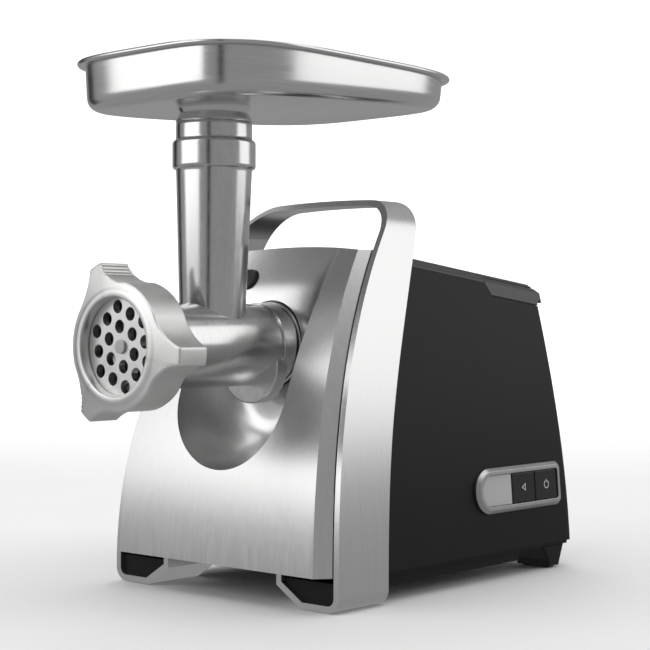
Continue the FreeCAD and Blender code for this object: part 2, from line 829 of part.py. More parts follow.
def gland_hole():
    spot = gland_spot()
    return Part.makeCylinder(7.6, 30, Vector(spot.x, spot.y - 15, spot.z), Vector(0, 1, 0))


def make_gland():
    """Bush in the back wall that the mains cord would pass through."""
    spot = gland_spot()
    wall = d.wall.value
    face = d.rear_foot_y + 0.9
    rear = spot.y - wall - 2.0
    profile = [
        (3.6, rear - 5.0), (9.2, rear - 5.0), (9.2, rear + 1.4), (7.4, rear + 1.4),
        (7.4, spot.y + 0.6), (9.2, spot.y + 0.6), (8.6, face), (3.6, face),
    ]
    turned("cord_gland", [(r, y) for r, y in profile], spot.x, spot.z)


# ---------------------------------------------------------------- underside, feet and storage bin
def make_base_plate():
    """Shallow tub that closes the housing from below and carries the motor."""
    low, high = 8.6, d.base_height - 0.2
    front, long = d.band_front + d.band_depth + 5.0, 152.0
    tub = box((170, long, high - low), (-85, front, low))
    lid = box((182, d.rear_foot_y - front - 5.0, 2.4), (-91, front, high - 2.4))
    inside = box((165, long - 5, high - low), (-82.5, front + 2.5, low + 2.5))
    vents = [box((30, 3.0, 8), (side * 35 - 15, front + 40 + 8 * index, low - 2))
             for side in (-1, 1) for index in range(5)]
    shelf_y = 75.8
    shelf = box((167, front - shelf_y + 2.4, 2.4), (-83.5, shelf_y, 24.4))
    riser = box((167, 2.4, 26.8 - high + 2.4), (-83.5, front, high - 2.4))
    node("base_plate", cut(cut(fuse(tub, lid, shelf, riser), inside), *vents))


def make_rear_feet():
    """Blocks under the back corners, with a slanting heel and a rubber pad each."""
    outer, inner = 90.0, 63.0
    top = d.base_height.value - 2.6
    sole = 1.2
    for side, name in ((-1, "left_rear_foot"), (1, "right_rear_foot")):
        wire = Part.makePolygon([
            Vector(0, 306.0, top), Vector(0, 333.0, top), Vector(0, 327.0, sole),
            Vector(0, 315.0, sole), Vector(0, 313.5, 6.0), Vector(0, 306.0, top),
        ])
        face = Part.Face(wire)
        face.translate(Vector(inner if side > 0 else -outer, 0, 0))
        block = face.extrude(Vector(outer - inner, 0, 0))
        edges = [e for e in block.Edges if abs(abs(e.BoundBox.XMin) - outer) < 0.1 and e.BoundBox.XLength < 0.1
                 and e.BoundBox.ZMin < 17.0]
        node(name, solid(block.makeFillet(1.5, edges)))
    pads = [box((20, 8, sole), (side * 76.5 - 10, 317, 0)) for side in (-1, 1)]
    node("rear_foot_pads", group(*pads))


def make_bin():
    """Liner of the storage compartment under the lid."""
    front, rear = d.lid_front.value + 9.5, 322.0
    half = 62.0
    floor = 128.0
    wall = 2.0
    rim_drop = d.lid_drop.value - 1.5
    side = Part.makePolygon([
        Vector(0, front, floor), Vector(0, rear, floor), Vector(0, rear, top_line(rear) - rim_drop),
        Vector(0, front, top_line(front) - rim_drop), Vector(0, front, floor),
    ])
    outer = across_x(side, half)
    inner = across_x(Part.makePolygon([
        Vector(0, front + wall, floor + wall), Vector(0, rear - wall, floor + wall),
        Vector(0, rear - wall, 230.0), Vector(0, front + wall, 230.0), Vector(0, front + wall, floor + wall),
    ]), half - wall)
    edges = [e for e in inner.Edges if e.BoundBox.ZLength > 60.0]
    node("storage_bin", solid(outer.cut(inner.makeFillet(6.0, edges))))
    y, z = hinge_line()
    node("lid_hinge_pin", cylinder(1.5, 2 * HINGE_HALF - 1.0, 0.5 - HINGE_HALF, y, z, ALONG_X))
    wall_top = rear_line(z) - d.wall.value
    knuckles = []
    for middle in KNUCKLES:
        sleeve = Part.makeCylinder(2.5, 14, Vector(middle - 7, y, z), Vector(1, 0, 0))
        web = Part.makeBox(14, 2.4, 9.0, Vector(middle - 7, wall_top - 2.9, z - 9.6))
        bore = Part.makeCylinder(1.5, 16, Vector(middle - 8, y, z), Vector(1, 0, 0))
        knuckles.append(sleeve.fuse(web).cut(bore))
    node("hinge_knuckles", solid(Part.makeCompound(knuckles)))


# ---------------------------------------------------------------- drive train
def stage_centre(stage):
    return MODULES[stage] * (PINIONS[stage] + WHEELS[stage]) / 2


def shaft_places():
    """(x, z) of the motor, first, second and output shafts."""
    output = (0.0, d.axis_height.value)
    swing = math.radians(STAGE_ANGLES[0])
    second = (output[0] + stage_centre(2) * math.sin(swing), output[1] - stage_centre(2) * math.cos(swing))
    swing = math.radians(STAGE_ANGLES[1])
    first = (second[0] + stage_centre(1) * math.cos(swing), second[1] + stage_centre(1) * math.sin(swing))
    motor = (0.0, first[1] - math.sqrt(stage_centre(0) ** 2 - first[0] ** 2))
    return motor, first, second, output


def gear_points(module, teeth, phase):
    """Outline of a stub-tooth involute gear with one tooth centred on the phase angle."""
    pressure = math.radians(25.0)
    pitch_r = module * teeth / 2
    base_r = pitch_r * math.cos(pressure)
    tip_r = pitch_r + 0.8 * module
    root_r = pitch_r - 1.05 * module
    backlash = 0.06 * module
    half_tooth = math.pi / 2 / teeth - backlash / pitch_r + math.tan(pressure) - pressure
    start_r = max(base_r, root_r) + 0.001
    side = []
    for radius in steps(start_r, tip_r, 4):
        slope = math.acos(min(base_r / radius, 1.0))
        side.append((radius, half_tooth - (math.tan(slope) - slope)))
    if root_r < start_r:
        side.insert(0, (root_r, side[0][1]))
    points = []
    for index in range(teeth):
        middle = phase + 2 * math.pi * index / teeth
        for radius, angle in side:
            points.append((radius * math.cos(middle - angle), radius * math.sin(middle - angle)))
        for radius, angle in side[::-1]:
            points.append((radius * math.cos(middle + angle), radius * math.sin(middle + angle)))
    return points


def gear(module, teeth, phase, width, y, centre):
    """Toothed prism about a line along Y; angles run from +X towards +Z."""
    corners = [Vector(centre[0] + u, y, centre[1] + w) for u, w in gear_points(module, teeth, phase)]
    return Part.Face(Part.makePolygon(corners + [corners[0]])).extrude(Vector(0, width, 0))


def rod(radius, y0, y1, centre):
    return Part.makeCylinder(radius, y1 - y0, Vector(centre[0], y0, centre[1]), Vector(0, 1, 0))


def direction(start, end):
    return math.atan2(end[1] - start[1], end[0] - start[0])


def make_gears():
    """Three reductions from the motor's pinion to the output gear."""
    motor, first, second, output = shaft_places()
    base = d.gear_y.value
    third_y, second_y, first_y = base, base + 17.0, base + 29.0
    to_first = direction(motor, first)
    to_second = direction(first, second)
    to_output = direction(second, output)
    gap = math.pi

    wheel = gear(MODULES[0], WHEELS[0], to_first + gap + gap / WHEELS[0], 8.0, first_y, first)
    node("first_gear", solid(wheel.cut(rod(5.0, first_y - 1, first_y + 9, first))))
    pinion = gear(MODULES[1], PINIONS[1], to_second, 10.0, second_y - 0.5, first)
    shaft = pinion.fuse(rod(5.0, base - 5.5, first_y + 13.6, first))
    node("second_pinion_shaft", solid(shaft))

    wheel = gear(MODULES[1], WHEELS[1], to_second + gap + gap / WHEELS[1], 9.0, second_y, second)
    node("second_gear", solid(wheel.cut(rod(6.0, second_y - 1, second_y + 10, second))))
    pinion = gear(MODULES[2], PINIONS[2], to_output, 15.0, third_y - 0.5, second)
    shaft = pinion.fuse(rod(6.0, base - 5.5, first_y + 13.6, second))
    node("third_pinion_shaft", solid(shaft))

    wheel = gear(MODULES[2], WHEELS[2], to_output + gap + gap / WHEELS[2], 14.0, third_y, output)
    wheel = wheel.cut(rod(14.0, third_y - 1, third_y + 15, output))
    lightening = []
    for index in range(6):
        angle = math.radians(60 * index)
        spot = (output[0] + 27 * math.cos(angle), output[1] + 27 * math.sin(angle))
        lightening.append(rod(6.0, third_y - 1, third_y + 15, spot))
    node("output_gear", solid(wheel.cut(Part.makeCompound(lightening))))

    pinion = gear(MODULES[0], PINIONS[0], to_first, 9.0, first_y - 0.5, motor)
    shaft = pinion.fuse(rod(3.9, first_y - 0.5, 200.0, motor)).fuse(rod(5.0, first_y + 11.0, 292.0, motor))
    node("armature_shaft", solid(shaft))


def make_drive_socket():
    """Output shaft with the cup that the worm's coupler plugs into."""
    z = d.axis_height
    face = d.pocket_back + 0.4
    journal = d.gear_y - 8.0
    tail = d.gear_y + 14.6
    profile = [
        (0, face), (20.6, face), (20.6, journal), (14.0, journal), (14.0, tail), (8.0, tail),
        (8.0, d.gear_y + 41.4), (0, d.gear_y + 41.4),
    ]
    body = turned("drive_socket", profile, 0, z)
    recess = sketch_on(body, "XZ_Plane", [
        (9.6 * math.cos(math.radians(60 * i)), 9.6 * math.sin(math.radians(60 * i))) for i in range(6)])
    pocket = body.newObject("PartDesign::Pocket", "hex_recess")
    pocket.Profile = recess
    bind(pocket, "Length", face + 10.0)
    pocket.Reversed = False
    body.Tip = pocket


def gearbox_discs(grow, y, length):
    """Cylinders over each shaft whose union is the gearbox's outline."""
    motor, first, second, output = shaft_places()
    radii = (10.5, 33.8, 37.6, 47.0)
    return [cylinder(radius + grow, length, spot[0], y, spot[1])
            for radius, spot in zip(radii, (motor, first, second, output))]


def make_gearbox():
    """Cast gearbox: a cup open to the back with a bearing boss, its cover and their screws."""
    motor, first, second, output = shaft_places()
    front = d.gear_y - 7.0
    rear = d.gear_y + 40.0
    bosses = [cylinder(5.0, rear - front, x, front, z) for x, z in boss_spots()]
    cup = fuse(*gearbox_discs(0.0, front, rear - front), *bosses)
    boss = cut(cylinder(36.0, front - d.pocket_back - 5.0, 0, d.pocket_back + 5.0, d.axis_height),
               box((80, 20, 40), (-40, d.pocket_back, d.axis_height + 28.5)))
    hollow = fuse(*gearbox_discs(-2.6, front + 4.0, rear - front))
    bearing_seat = cylinder(24.0, 20, 0, d.pocket_back + 2.0, d.axis_height)
    pins = [cylinder(radius, 30, spot[0], front - 2, spot[1]) for radius, spot in ((5.04, first), (6.04, second))]
    threads = [cylinder(1.8, 9.0, x, rear - 8.0, z) for x, z in boss_spots()]
    shell = cut(fuse(cup, boss), hollow, bearing_seat, *pins, *threads, *socket_screw_holes(1.6))
    node("gearbox_housing", shell)

    seats = [cylinder(radius, 30, spot[0], rear - 5, spot[1])
             for radius, spot in ((11.0, motor), (7.0, first), (8.0, second), (10.0, output))]
    lugs = [cylinder(5.0, 3.4, x, rear, z) for x, z in boss_spots()]
    cover = fuse(*gearbox_discs(0.0, rear, 3.4), *lugs)
    threads = [cylinder(1.8, 9.0, x, rear - 3.0, z) for x, z in boss_spots()]
    node("gearbox_cover", cut(cover, *seats, *threads))
    bushes = [cut(cylinder(outer, 3.4, spot[0], rear, spot[1]), cylinder(bore, 10, spot[0], rear - 3, spot[1]))
              for outer, bore, spot in ((7.0, 5.04, first), (8.0, 6.04, second), (10.0, 8.04, output))]
    node("shaft_bushes", group(*bushes))
    screws = []
    for x, z in boss_spots():
        screws.append(fuse(cylinder(3.6, 2.6, x, rear + 3.4, z), cylinder(1.8, 9.3, x, rear - 5.9, z)))
    node("gearbox_screws", group(*screws))


def boss_spots():
    """(x, z) of the gearbox's screw bosses, set around its outline."""
    first, second, output = shaft_places()[1:]
    spots = []
    for centre, radius, angle in (
        (output, 47.0, 35.0), (output, 47.0, 145.0), (second, 37.6, 200.0),
        (second, 37.6, 270.0), (first, 33.8, 10.0), (first, 33.8, -55.0),
    ):
        swing = math.radians(angle)
        reach = radius + 2.5
        spots.append((centre[0] + reach * math.cos(swing), centre[1] + reach * math.sin(swing)))
    return spots


def make_output_bearing():
    z = d.axis_height
    front = d.gear_y - 7.8
    turned("output_bearing", [(14.04, front), (24.0, front), (24.0, front + 7.0), (14.04, front + 7.0)], 0, z)
    face = d.pocket_back + 5.4
    turned("output_seal", [(20.9, face), (24.0, face), (24.0, face + 3.0), (21.6, face + 3.0), (20.9, face + 1.5)],
           0, z)


def socket_spots():
    z = d.axis_height
    reach = 31.5
    return [(reach * math.cos(math.radians(angle)), z + reach * math.sin(math.radians(angle)))
            for angle in (20, 160, 225, 315)]


def socket_screw_holes(radius):
    return [cylinder(radius, 12.0, x, d.pocket_back + 2.0, z) for x, z in socket_spots()]


def make_bayonet_socket():
    """Flanged ring on the gearbox that takes the grinder head's spigot, and its screws."""
    z = d.axis_height
    face, rear = 125.5, d.pocket_back + 5.0
    flange = d.pocket_back + 2.4
    rim = cone(27.2, 27.8, 0.6, 0, face, z)
    ring = cylinder(27.8, rear - face - 0.6, 0, face + 0.6, z)
    disc = cut(cylinder(36.0, rear - flange, 0, flange, z), box((80, 20, 40), (-40, flange - 5, z + 19.5)))
    bore = cylinder(24.4, 40, 0, face - 5, z)
    sinks = [cylinder(3.0, 3.4, x, flange - 2.0, y) for x, y in socket_spots()]
    node("bayonet_socket", cut(fuse(rim, ring, disc), bore, *sinks, *socket_screw_holes(1.6)))
    screws = [fuse(cylinder(2.9, 1.3, x, flange + 0.1, y), cylinder(1.5, 8.0, x, flange + 1.4, y))
              for x, y in socket_spots()]
    node("socket_screws", group(*screws))


# ---------------------------------------------------------------- motor
def make_motor():
    """Universal motor: laminated stator, field coils, rotor, commutator, brushes, fan and its brackets."""
    motor = shaft_places()[0]
    x, z = motor
    front, stack = d.motor_y, d.stack
    half_wide, half_tall = 43.0, 40.0
    body = plate("motor_stator", [
        (x - half_wide + 10, z - half_tall), (x + half_wide - 10, z - half_tall),
        (x + half_wide, z - half_tall + 10), (x + half_wide, z + half_tall - 10),
        (x + half_wide - 10, z + half_tall), (x - half_wide + 10, z + half_tall),
        (x - half_wide, z + half_tall - 10), (x - half_wide, z - half_tall + 10),
    ], front, stack)
    hole_sketch = body.newObject("Sketcher::SketchObject", "bore")
    hole_sketch.AttachmentSupport = [(plane_of(body, "XZ_Plane"), "")]
    hole_sketch.MapMode = "FlatFace"
    hole_sketch.addGeometry(Part.Circle(Vector(x, z, 0), Vector(0, 0, 1), 26.0), False)
    bore = body.newObject("PartDesign::Pocket", "bore")
    bore.Profile = hole_sketch
    bore.Type = "ThroughAll"
    bore.Midplane = True
    body.Tip = bore

    coils = []
    for side in (-1, 1):
        for end, depth in ((front - 9.5, 9.0), (front + stack + 0.5, 9.0)):
            arch = cut(cylinder(35.0, depth, x, end, z), cylinder(27.0, 30, x, end - 10, z))
            coils.append(common(arch, box((56, 30, 16), (x - 28, end - 5, z + side * 26 - 8))))
    node("field_coils", group(*coils))

    core = rod(d.rotor_r.value, val(front), val(front + stack), motor)
    tools = []
    for index in range(12):
        slot = Part.makeBox(3.0, 60, 11.0, Vector(-1.5, val(front) - 5, d.rotor_r.value - 9.5))
        slot.rotate(Vector(0, 0, 0), Vector(0, 1, 0), 30 * index)
        slot.translate(Vector(x, 0, z))
        tools.append(slot)
    core = core.cut(Part.makeCompound(tools)).cut(rod(5.0, 200, 300, motor))
    node("armature_core", solid(core))

    turned("commutator", [(5.0, 262), (14.0, 262), (14.0, 277), (10.0, 277), (10.0, 280), (5.0, 280)], x, z)
    make_fan(motor)
    make_brushes(motor)
    make_motor_mounts(motor)


def make_fan(motor):
    """Radial fan on the rotor, just behind the gearbox."""
    hub = rod(10.0, 196.0, 204.0, motor)
    disc = rod(35.0, 196.0, 197.6, motor)
    blades = []
    for index in range(14):
        blade = Part.makeBox(1.4, 7.0, 22.0, Vector(-0.7, 197.0, 12.0))
        blade.rotate(Vector(0, 0, 0), Vector(0, 1, 0), 360.0 / 14 * index)
        blade.translate(Vector(motor[0], 0, motor[1]))
        blades.append(blade)
    fan = hub.multiFuse([disc] + blades).cut(rod(5.0, 190.0, 210.0, motor))
    node("cooling_fan", solid(fan))


def make_brushes(motor):
    """Carbon brushes on both sides of the commutator, each in a brass tube with its spring."""
    x, z = motor
    tubes, carbons, springs = [], [], []
    for side in (-1, 1):
        turn = Rotation(Vector(0, 1, 0), 90 * side)
        start = x + side * 18.0
        tubes.append(cut(box((10, 12, 22), (start, 264, z + side * 5), turn),
                         box((7.2, 9.2, 24), (start - side, 265.4, z + side * 3.6), turn)))
        carbons.append(box((7.0, 9.0, 17.0), (x + side * 14.2, 265.5, z + side * 3.5), turn))
        coil = cut(cylinder(3.0, 6.0, x + side * 31.4, 270, z, turn), cylinder(2.2, 8, x + side * 31, 270, z, turn))
        springs.append(coil)
    node("brush_holders", group(*tubes))
    node("carbon_brushes", group(*carbons))
    node("brush_springs", group(*springs))


def make_motor_mounts(motor):
    """Rear bracket, bearings, long tie bolts and the rubber cradle the motor rests in."""
    x, z = motor
    rear = 284.0
    bracket = cut(box((86, 5, 80), (x - 43, rear, z - 40)), cylinder(13.0, 20, x, rear - 5, z),
                  *[box((18, 20, 18), (x + sx * 26 - 9, rear - 5, z + sz * 24 - 9)) for sx in (-1, 1) for sz in (-1, 1)])
    node("motor_bracket", bracket)
    races = [cut(cylinder(outer, 5.0, x, start, z), cylinder(5.03, 20, x, start - 5, z))
             for outer, start in ((13.0, rear), (11.0, d.gear_y + 40.0))]
    node("motor_bearings", group(*races))
    bolts = []
    for sx in (-1, 1):
        for sz in (-1, 1):
            bolts.append(cylinder(2.0, 31.4, x + sx * 39.5, 252.3, z + sz * 25))
    node("tie_bolts", group(*bolts))
    cradles = []
    for start in (218.0, 240.0):
        cradles.append(box((60, 8, z - 40 - 11.2), (x - 30, start, 11.1)))
    node("motor_cradle", group(*cradles))


# ---------------------------------------------------------------- grinder head
def make_head():
    """Cast head: worm barrel with its front flange, feed tube, lug and the spigot that locks in the socket."""
    z = d.axis_height
    neck = 112.4
    barrel = [
        cylinder(34.0, 15.8, 0, 0.6, z),
        cone(33.0, d.tube_r, 7.6, 0, 16.4, z),
        cylinder(d.tube_r, neck - 22.0, 0, 22.0, z),
        cylinder(d.tube_r + 0.5, 12.2, 0, neck + 0.5, z),
        cylinder(d.tube_r - 1.0, 2.0, 0, neck - 0.8, z),
        cylinder(24.0, 8.6, 0, 124.4, z),
    ]
    upright = Rotation()
    feed = [
        cone(20.2, d.feed_r, 102.0, 0, d.feed_y - 1.5, z + 10.0, upright),
        cylinder(d.feed_r, 35.0, 0, d.feed_y, 260.0, upright),
        cylinder(d.feed_r + 2.2, 16.4, 0, d.feed_y, 267.3, upright),
        cone(d.feed_r, d.feed_r + 2.2, 1.0, 0, d.feed_y, 266.3, upright),
        cone(d.feed_r + 2.2, d.feed_r, 1.0, 0, d.feed_y, 283.7, upright),
    ]
    lug = cylinder(24.6, 10.0, 0, 107.5, z - 12.8)
    bore = [
        cylinder(d.disc_r + 0.15, 13.0, 0, -0.4, z),
        cone(d.disc_r + 0.15, d.bore_r, 8.0, 0, 12.6, z),
        cylinder(d.bore_r, 83.4, 0, 20.6, z),
        cylinder(9.05, 40.0, 0, 100.0, z),
        cylinder(21.4, 30.0, 0, 111.0, z),
        cone(17.4, d.feed_r - 3.0, 96.0, 0, d.feed_y - 1.5, z + 10.0, upright),
        cylinder(d.feed_r - 3.0, 60.0, 0, d.feed_y, 262.0, upright),
    ]
    key = box((4.4, 7, 4.0), (-2.2, 0, z + d.disc_r - 1.6))
    node("grinder_head", cut(fuse(*barrel, *feed, lug), *bore, key))


def make_disc():
    """Perforated disc: a centre hole and rings of holes on a triangular lattice, with a locating tab."""
    z = d.axis_height
    tilt = 38.19
    round_disc = cylinder(d.disc_r, d.disc_thick, 0, 0.65, z)
    tab = box((4.0, d.disc_thick, 3.0), (-2.0, 0.65, z + d.disc_r - 1.8))
    holes = [cylinder(4.1, 20, 0, -5, z)]
    for i in range(-2, 3):
        for j in range(-2, 3):
            u, v = i + j * 0.5, j * math.sqrt(0.75)
            if (i, j) == (0, 0) or u * u + v * v > 4.01:
                continue
            swing = math.radians(tilt)
            across = u * math.cos(swing) - v * math.sin(swing)
            up = u * math.sin(swing) + v * math.cos(swing)
            holes.append(cylinder(d.hole_r, 20, d.hole_pitch * across, -5, z + d.hole_pitch * up))
    node("perforated_disc", cut(fuse(round_disc, tab), *holes))


def lobe_outline():
    """Front view of one lobe of the locking ring, pointing up: a narrow tip with hollowed flanks."""
    ring, tip = d.ring_r.value, d.lobe_r.value
    spread = math.radians(35.0)
    root_x, root_z = (ring - 0.3) * math.sin(spread), (ring - 0.3) * math.cos(spread)
    half_tip = 5.4
    tip_z = tip - 0.4
    left_mid = Vector(-10.2, 0, ring + 3.6)
    right_mid = Vector(9.0, 0, ring + 3.8)
    return wire_of(
        Part.Arc(Vector(-root_x, 0, root_z), left_mid, Vector(-half_tip, 0, tip_z)),
        Part.Arc(Vector(-half_tip, 0, tip_z), Vector(0, 0, tip), Vector(half_tip, 0, tip_z)),
        Part.Arc(Vector(half_tip, 0, tip_z), right_mid, Vector(root_x, 0, root_z)),
        line(Vector(root_x, 0, root_z), Vector(0, 0, ring - 8.0)),
        line(Vector(0, 0, ring - 8.0), Vector(-root_x, 0, root_z)),
    )


def make_ring():
    """Locking ring that screws onto the head's flange, with three grip lobes."""
    z = d.axis_height.value
    front, back = d.ring_front.value, d.ring_back.value
    bevel = 1.2
    ring = Part.makeCylinder(d.ring_r.value, back - front - bevel, Vector(0, front + bevel, 0), Vector(0, 1, 0))
    nose = Part.makeCone(d.ring_r.value - bevel, d.ring_r.value, bevel, Vector(0, front, 0), Vector(0, 1, 0))
    lobes = []
    for angle in LOBE_ANGLES:
        lobe = across_y(lobe_outline(), front + bevel, back)
        for index in range(4):
            reach = d.ring_r.value + 4.2 + 2.6 * index
            groove = Part.makeCylinder(0.8, 60, Vector(8.3 - 0.75 * index, front - 10, reach), Vector(0, 1, 0))
            lobe = lobe.cut(groove)
        lobe.rotate(Vector(0, 0, 0), Vector(0, 1, 0), angle)
        lobes.append(lobe)
    body = ring.multiFuse([nose] + lobes).removeSplitter()
    lip = Part.makeCylinder(d.lip_r.value, 30, Vector(0, front - 10, 0), Vector(0, 1, 0))
    flare = Part.makeCone(d.lip_r.value + 2.4, d.lip_r.value, 2.4, Vector(0, front, 0), Vector(0, 1, 0))
    inside = Part.makeCylinder(34.4, 40, Vector(0, 0.3, 0), Vector(0, 1, 0))
    deep = back - front
    face = Part.makeCone(d.lip_r.value + 3.6, d.lip_r.value + 3.6 + RING_FACE_SLOPE * deep, deep,
                         Vector(0, front, 0), Vector(0, 1, 0))
    body = body.cut(lip).cut(flare).cut(inside).common(face)
    body.translate(Vector(0, 0, z))
    node("locking_ring", solid(body))


def make_knife():
    """Cross knife with four tapered blades on a square hub, running behind the disc."""
    z = d.axis_height.value
    front = 0.65 + d.disc_thick.value + 0.35
    hub = Part.makeCylinder(10.0, 9.0, Vector(0, front, 0), Vector(0, 1, 0))
    blades = []
    for index in range(4):
        wire = Part.makePolygon([
            Vector(-5.0, front, 6.0), Vector(5.0, front, 6.0), Vector(5.5, front, 29.0), Vector(-1.5, front, 29.5),
            Vector(-5.0, front, 6.0),
        ])
        blade = Part.Face(wire).extrude(Vector(0, 5.0, 0))
        bevel = Part.makeBox(20, 12, 40, Vector(0, 0, 0))
        bevel.rotate(Vector(0, 0, 0), Vector(0, 0, 1), 45)
        bevel.translate(Vector(3.4, front + 1.6, 2.0))
        blade = blade.cut(bevel)
        blade.rotate(Vector(0, 0, 0), Vector(0, 1, 0), 90 * index + KNIFE_TURN)
        blades.append(blade)
    square = Part.makeBox(9.1, 30, 9.1, Vector(-4.55, front - 5, -4.55))
    square.rotate(Vector(0, 0, 0), Vector(0, 1, 0), KNIFE_TURN)
    knife = hub.multiFuse(blades).cut(square)
    knife.translate(Vector(0, 0, z))
    node("cross_knife", solid(knife))


def make_worm():
    """Worm with a helical flight, a square for the knife, a front pin for the disc and a rear journal."""
    z = d.axis_height.value
    start, end = 27.5, 99.0
    core_r = 10.5
    pieces = [
        Part.makeCylinder(4.05, 8.0, Vector(0, -0.9, 0), Vector(0, 1, 0)),
        Part.makeCylinder(core_r, end + 4.6 - 16.5, Vector(0, 16.5, 0), Vector(0, 1, 0)),
        Part.makeCylinder(8.99, 10.4, Vector(0, end + 2.0, 0), Vector(0, 1, 0)),
    ]
    square = Part.makeBox(9.0, 11.0, 9.0, Vector(-4.5, 6.0, -4.5))
    square.rotate(Vector(0, 0, 0), Vector(0, 1, 0), KNIFE_TURN)
    pitch, turns = 24.0, 2.7
    helix = Part.makeHelix(pitch, pitch * turns, core_r - 0.5)
    profile = Part.makePolygon([
        Vector(core_r - 1.5, 0, -3.2), Vector(d.bore_r.value - 0.35, 0, -1.4),
        Vector(d.bore_r.value - 0.35, 0, 1.4), Vector(core_r - 1.5, 0, 3.2), Vector(core_r - 1.5, 0, -3.2),
    ])
    flight = Part.Wire(helix).makePipeShell([profile], True, True)
    flight.rotate(Vector(0, 0, 0), Vector(1, 0, 0), -90)
    flight.translate(Vector(0, start + 4.0, 0))
    worm = pieces[0].multiFuse(pieces[1:] + [square, flight])
    hole = Part.makeCylinder(1.6, 20, Vector(0, 95, 0), Vector(0, 1, 0))
    worm = worm.cut(hole)
    worm.translate(Vector(0, 0, z))
    node("worm", solid(worm))


def make_coupler():
    """Plastic drive piece at the worm's back end, made to give way first, and the screw that holds it."""
    z = d.axis_height
    nose = prism(6, 9.3, 24.0, 0, 112.4, z, Rotation(Vector(0, 1, 0), 0).multiply(ALONG_Y))
    flange = cylinder(15.0, 3.0, 0, 112.4, z)
    bore = cylinder(1.6, 60, 0, 100, z)
    seat = cylinder(3.4, 20, 0, 133.0, z)
    node("worm_coupler", cut(fuse(nose, flange), bore, seat))
    node("coupler_screw", fuse(cylinder(3.2, 2.4, 0, 133.05, z), cylinder(1.5, 32.0, 0, 101.5, z)))


# ---------------------------------------------------------------- tray
def tray_ring(inset, height, count=48):
    """Plan of the tray as a rounded, slightly barrel-sided oblong; height is a function of y."""
    half_x = d.tray_half_x.value - inset
    half_y = d.tray_half_y.value - inset
    power = 2 / 3.8
    points = []
    for index in range(count):
        angle = 2 * math.pi * (index + 0.5) / count
        along = math.copysign(abs(math.cos(angle)) ** power, math.cos(angle))
        across = math.copysign(abs(math.sin(angle)) ** power, math.sin(angle))
        y = d.tray_y.value + half_y * across
        points.append(Vector(half_x * along, y, height(y)))
    return points


def spout_ring(radius, height):
    """A circle about the feed tube's axis, each point in the direction of its partner on the tray's plan."""
    centre_y = d.feed_y.value
    points = []
    for partner in tray_ring(0.0, lambda y: 0.0):
        angle = math.atan2(partner.y - centre_y, partner.x)
        y = centre_y + radius * math.sin(angle)
        points.append(Vector(radius * math.cos(angle), y, height(y)))
    return points


def floor_line(lift):
    """Height of the tray's floor, which falls towards the front, raised by lift."""
    return lambda y: d.tray_floor.value + 0.052 * (y - 11.0) + lift


def level(z):
    return lambda y: z


def closed_curve(points):
    curve = Part.BSplineCurve()
    curve.interpolate(points, True)
    return Part.Wire([curve.toShape()])


def skinned(rows):
    """Closed solid with straight skins from each ring of points to the next, and from the last to the first."""
    wires = [closed_curve(row) for row in rows]
    faces = []
    for index, wire in enumerate(wires):
        skin = Part.makeLoft([wire, wires[(index + 1) % len(wires)]], False, True)
        faces.extend(skin.Faces)
    shape = Part.makeSolid(Part.makeShell(faces))
    return shape if shape.Volume > 0 else shape.reversed()


def make_tray():
    """Pan with a rolled rim, its floor sloping to a spout that plugs into the feed tube."""
    sheet_metal = d.tray_sheet.value
    top = d.tray_top.value
    plug, throat, shoulder = d.feed_r.value - 3.3, d.throat_r.value, d.feed_r.value
    foot, seat = 270.0, 295.4
    wall = ((13.0, 0.0), (9.6, 1.2), (6.6, 4.2), (5.2, 9.0))
    outside = [tray_ring(inset, floor_line(rise)) for inset, rise in wall]
    inside = [tray_ring(inset + sheet_metal, floor_line(rise + sheet_metal * 0.7)) for inset, rise in wall[::-1]]
    rim = [(4.3, top - 3.0), (1.2, top - 3.2), (0.0, top - 1.6), (1.0, top), (4.3 + sheet_metal, top)]
    rows = [
        spout_ring(plug, level(foot)),
        spout_ring(plug, level(seat)),
        spout_ring(shoulder, level(seat)),
        spout_ring(shoulder, level(seat + 1.8)),
        spout_ring(21.2, level(seat + 6.6)),
        spout_ring(22.8, floor_line(0.0)),
    ]
    rows += outside
    rows += [tray_ring(inset, level(z)) for inset, z in rim]
    rows += inside
    narrow = throat - 0.3
    rows += [spout_ring(throat + 2.0, floor_line(sheet_metal)), spout_ring(narrow, floor_line(-1.5)),
             spout_ring(narrow, level(foot))]
    pan = solid(skinned(rows))
    node("tray", cut(pan, cylinder(d.throat_r, 50.0, 0, d.feed_y, foot - 5.0, Rotation())))


# ---------------------------------------------------------------- output
def export():
    """Check every object and every sub-part, then write one STEP file for each."""
    doc.recompute()
    failed = [obj.Name for obj in doc.Objects if {"Invalid", "Error"} & set(obj.State)]
    for name, obj in nodes:
        shape = obj.Shape
        if shape.isNull() or not shape.isValid() or not shape.Solids:
            failed.append(name)
    if failed:
        raise RuntimeError("failed: " + ", ".join(failed))
    os.makedirs("parts", exist_ok=True)
    for name, obj in nodes:
        obj.Shape.exportStep("parts/%s.step" % name)
    print(len(nodes), "sub-parts written")


def build():
    make_band()
    make_foot_blocks()
    make_front_pads()
    make_front_plate()
    make_release_button()
    make_plate_surround()
    make_housing()
    make_top_cover()
    make_lid()
    make_panel()
    make_gland()
    make_base_plate()
    make_rear_feet()
    make_bin()
    make_gears()
    make_drive_socket()
    make_gearbox()
    make_output_bearing()
    make_bayonet_socket()
    make_motor()
    make_head()
    make_disc()
    make_ring()
    make_knife()
    make_worm()
    make_coupler()
    make_tray()


build()
export()
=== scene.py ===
import math

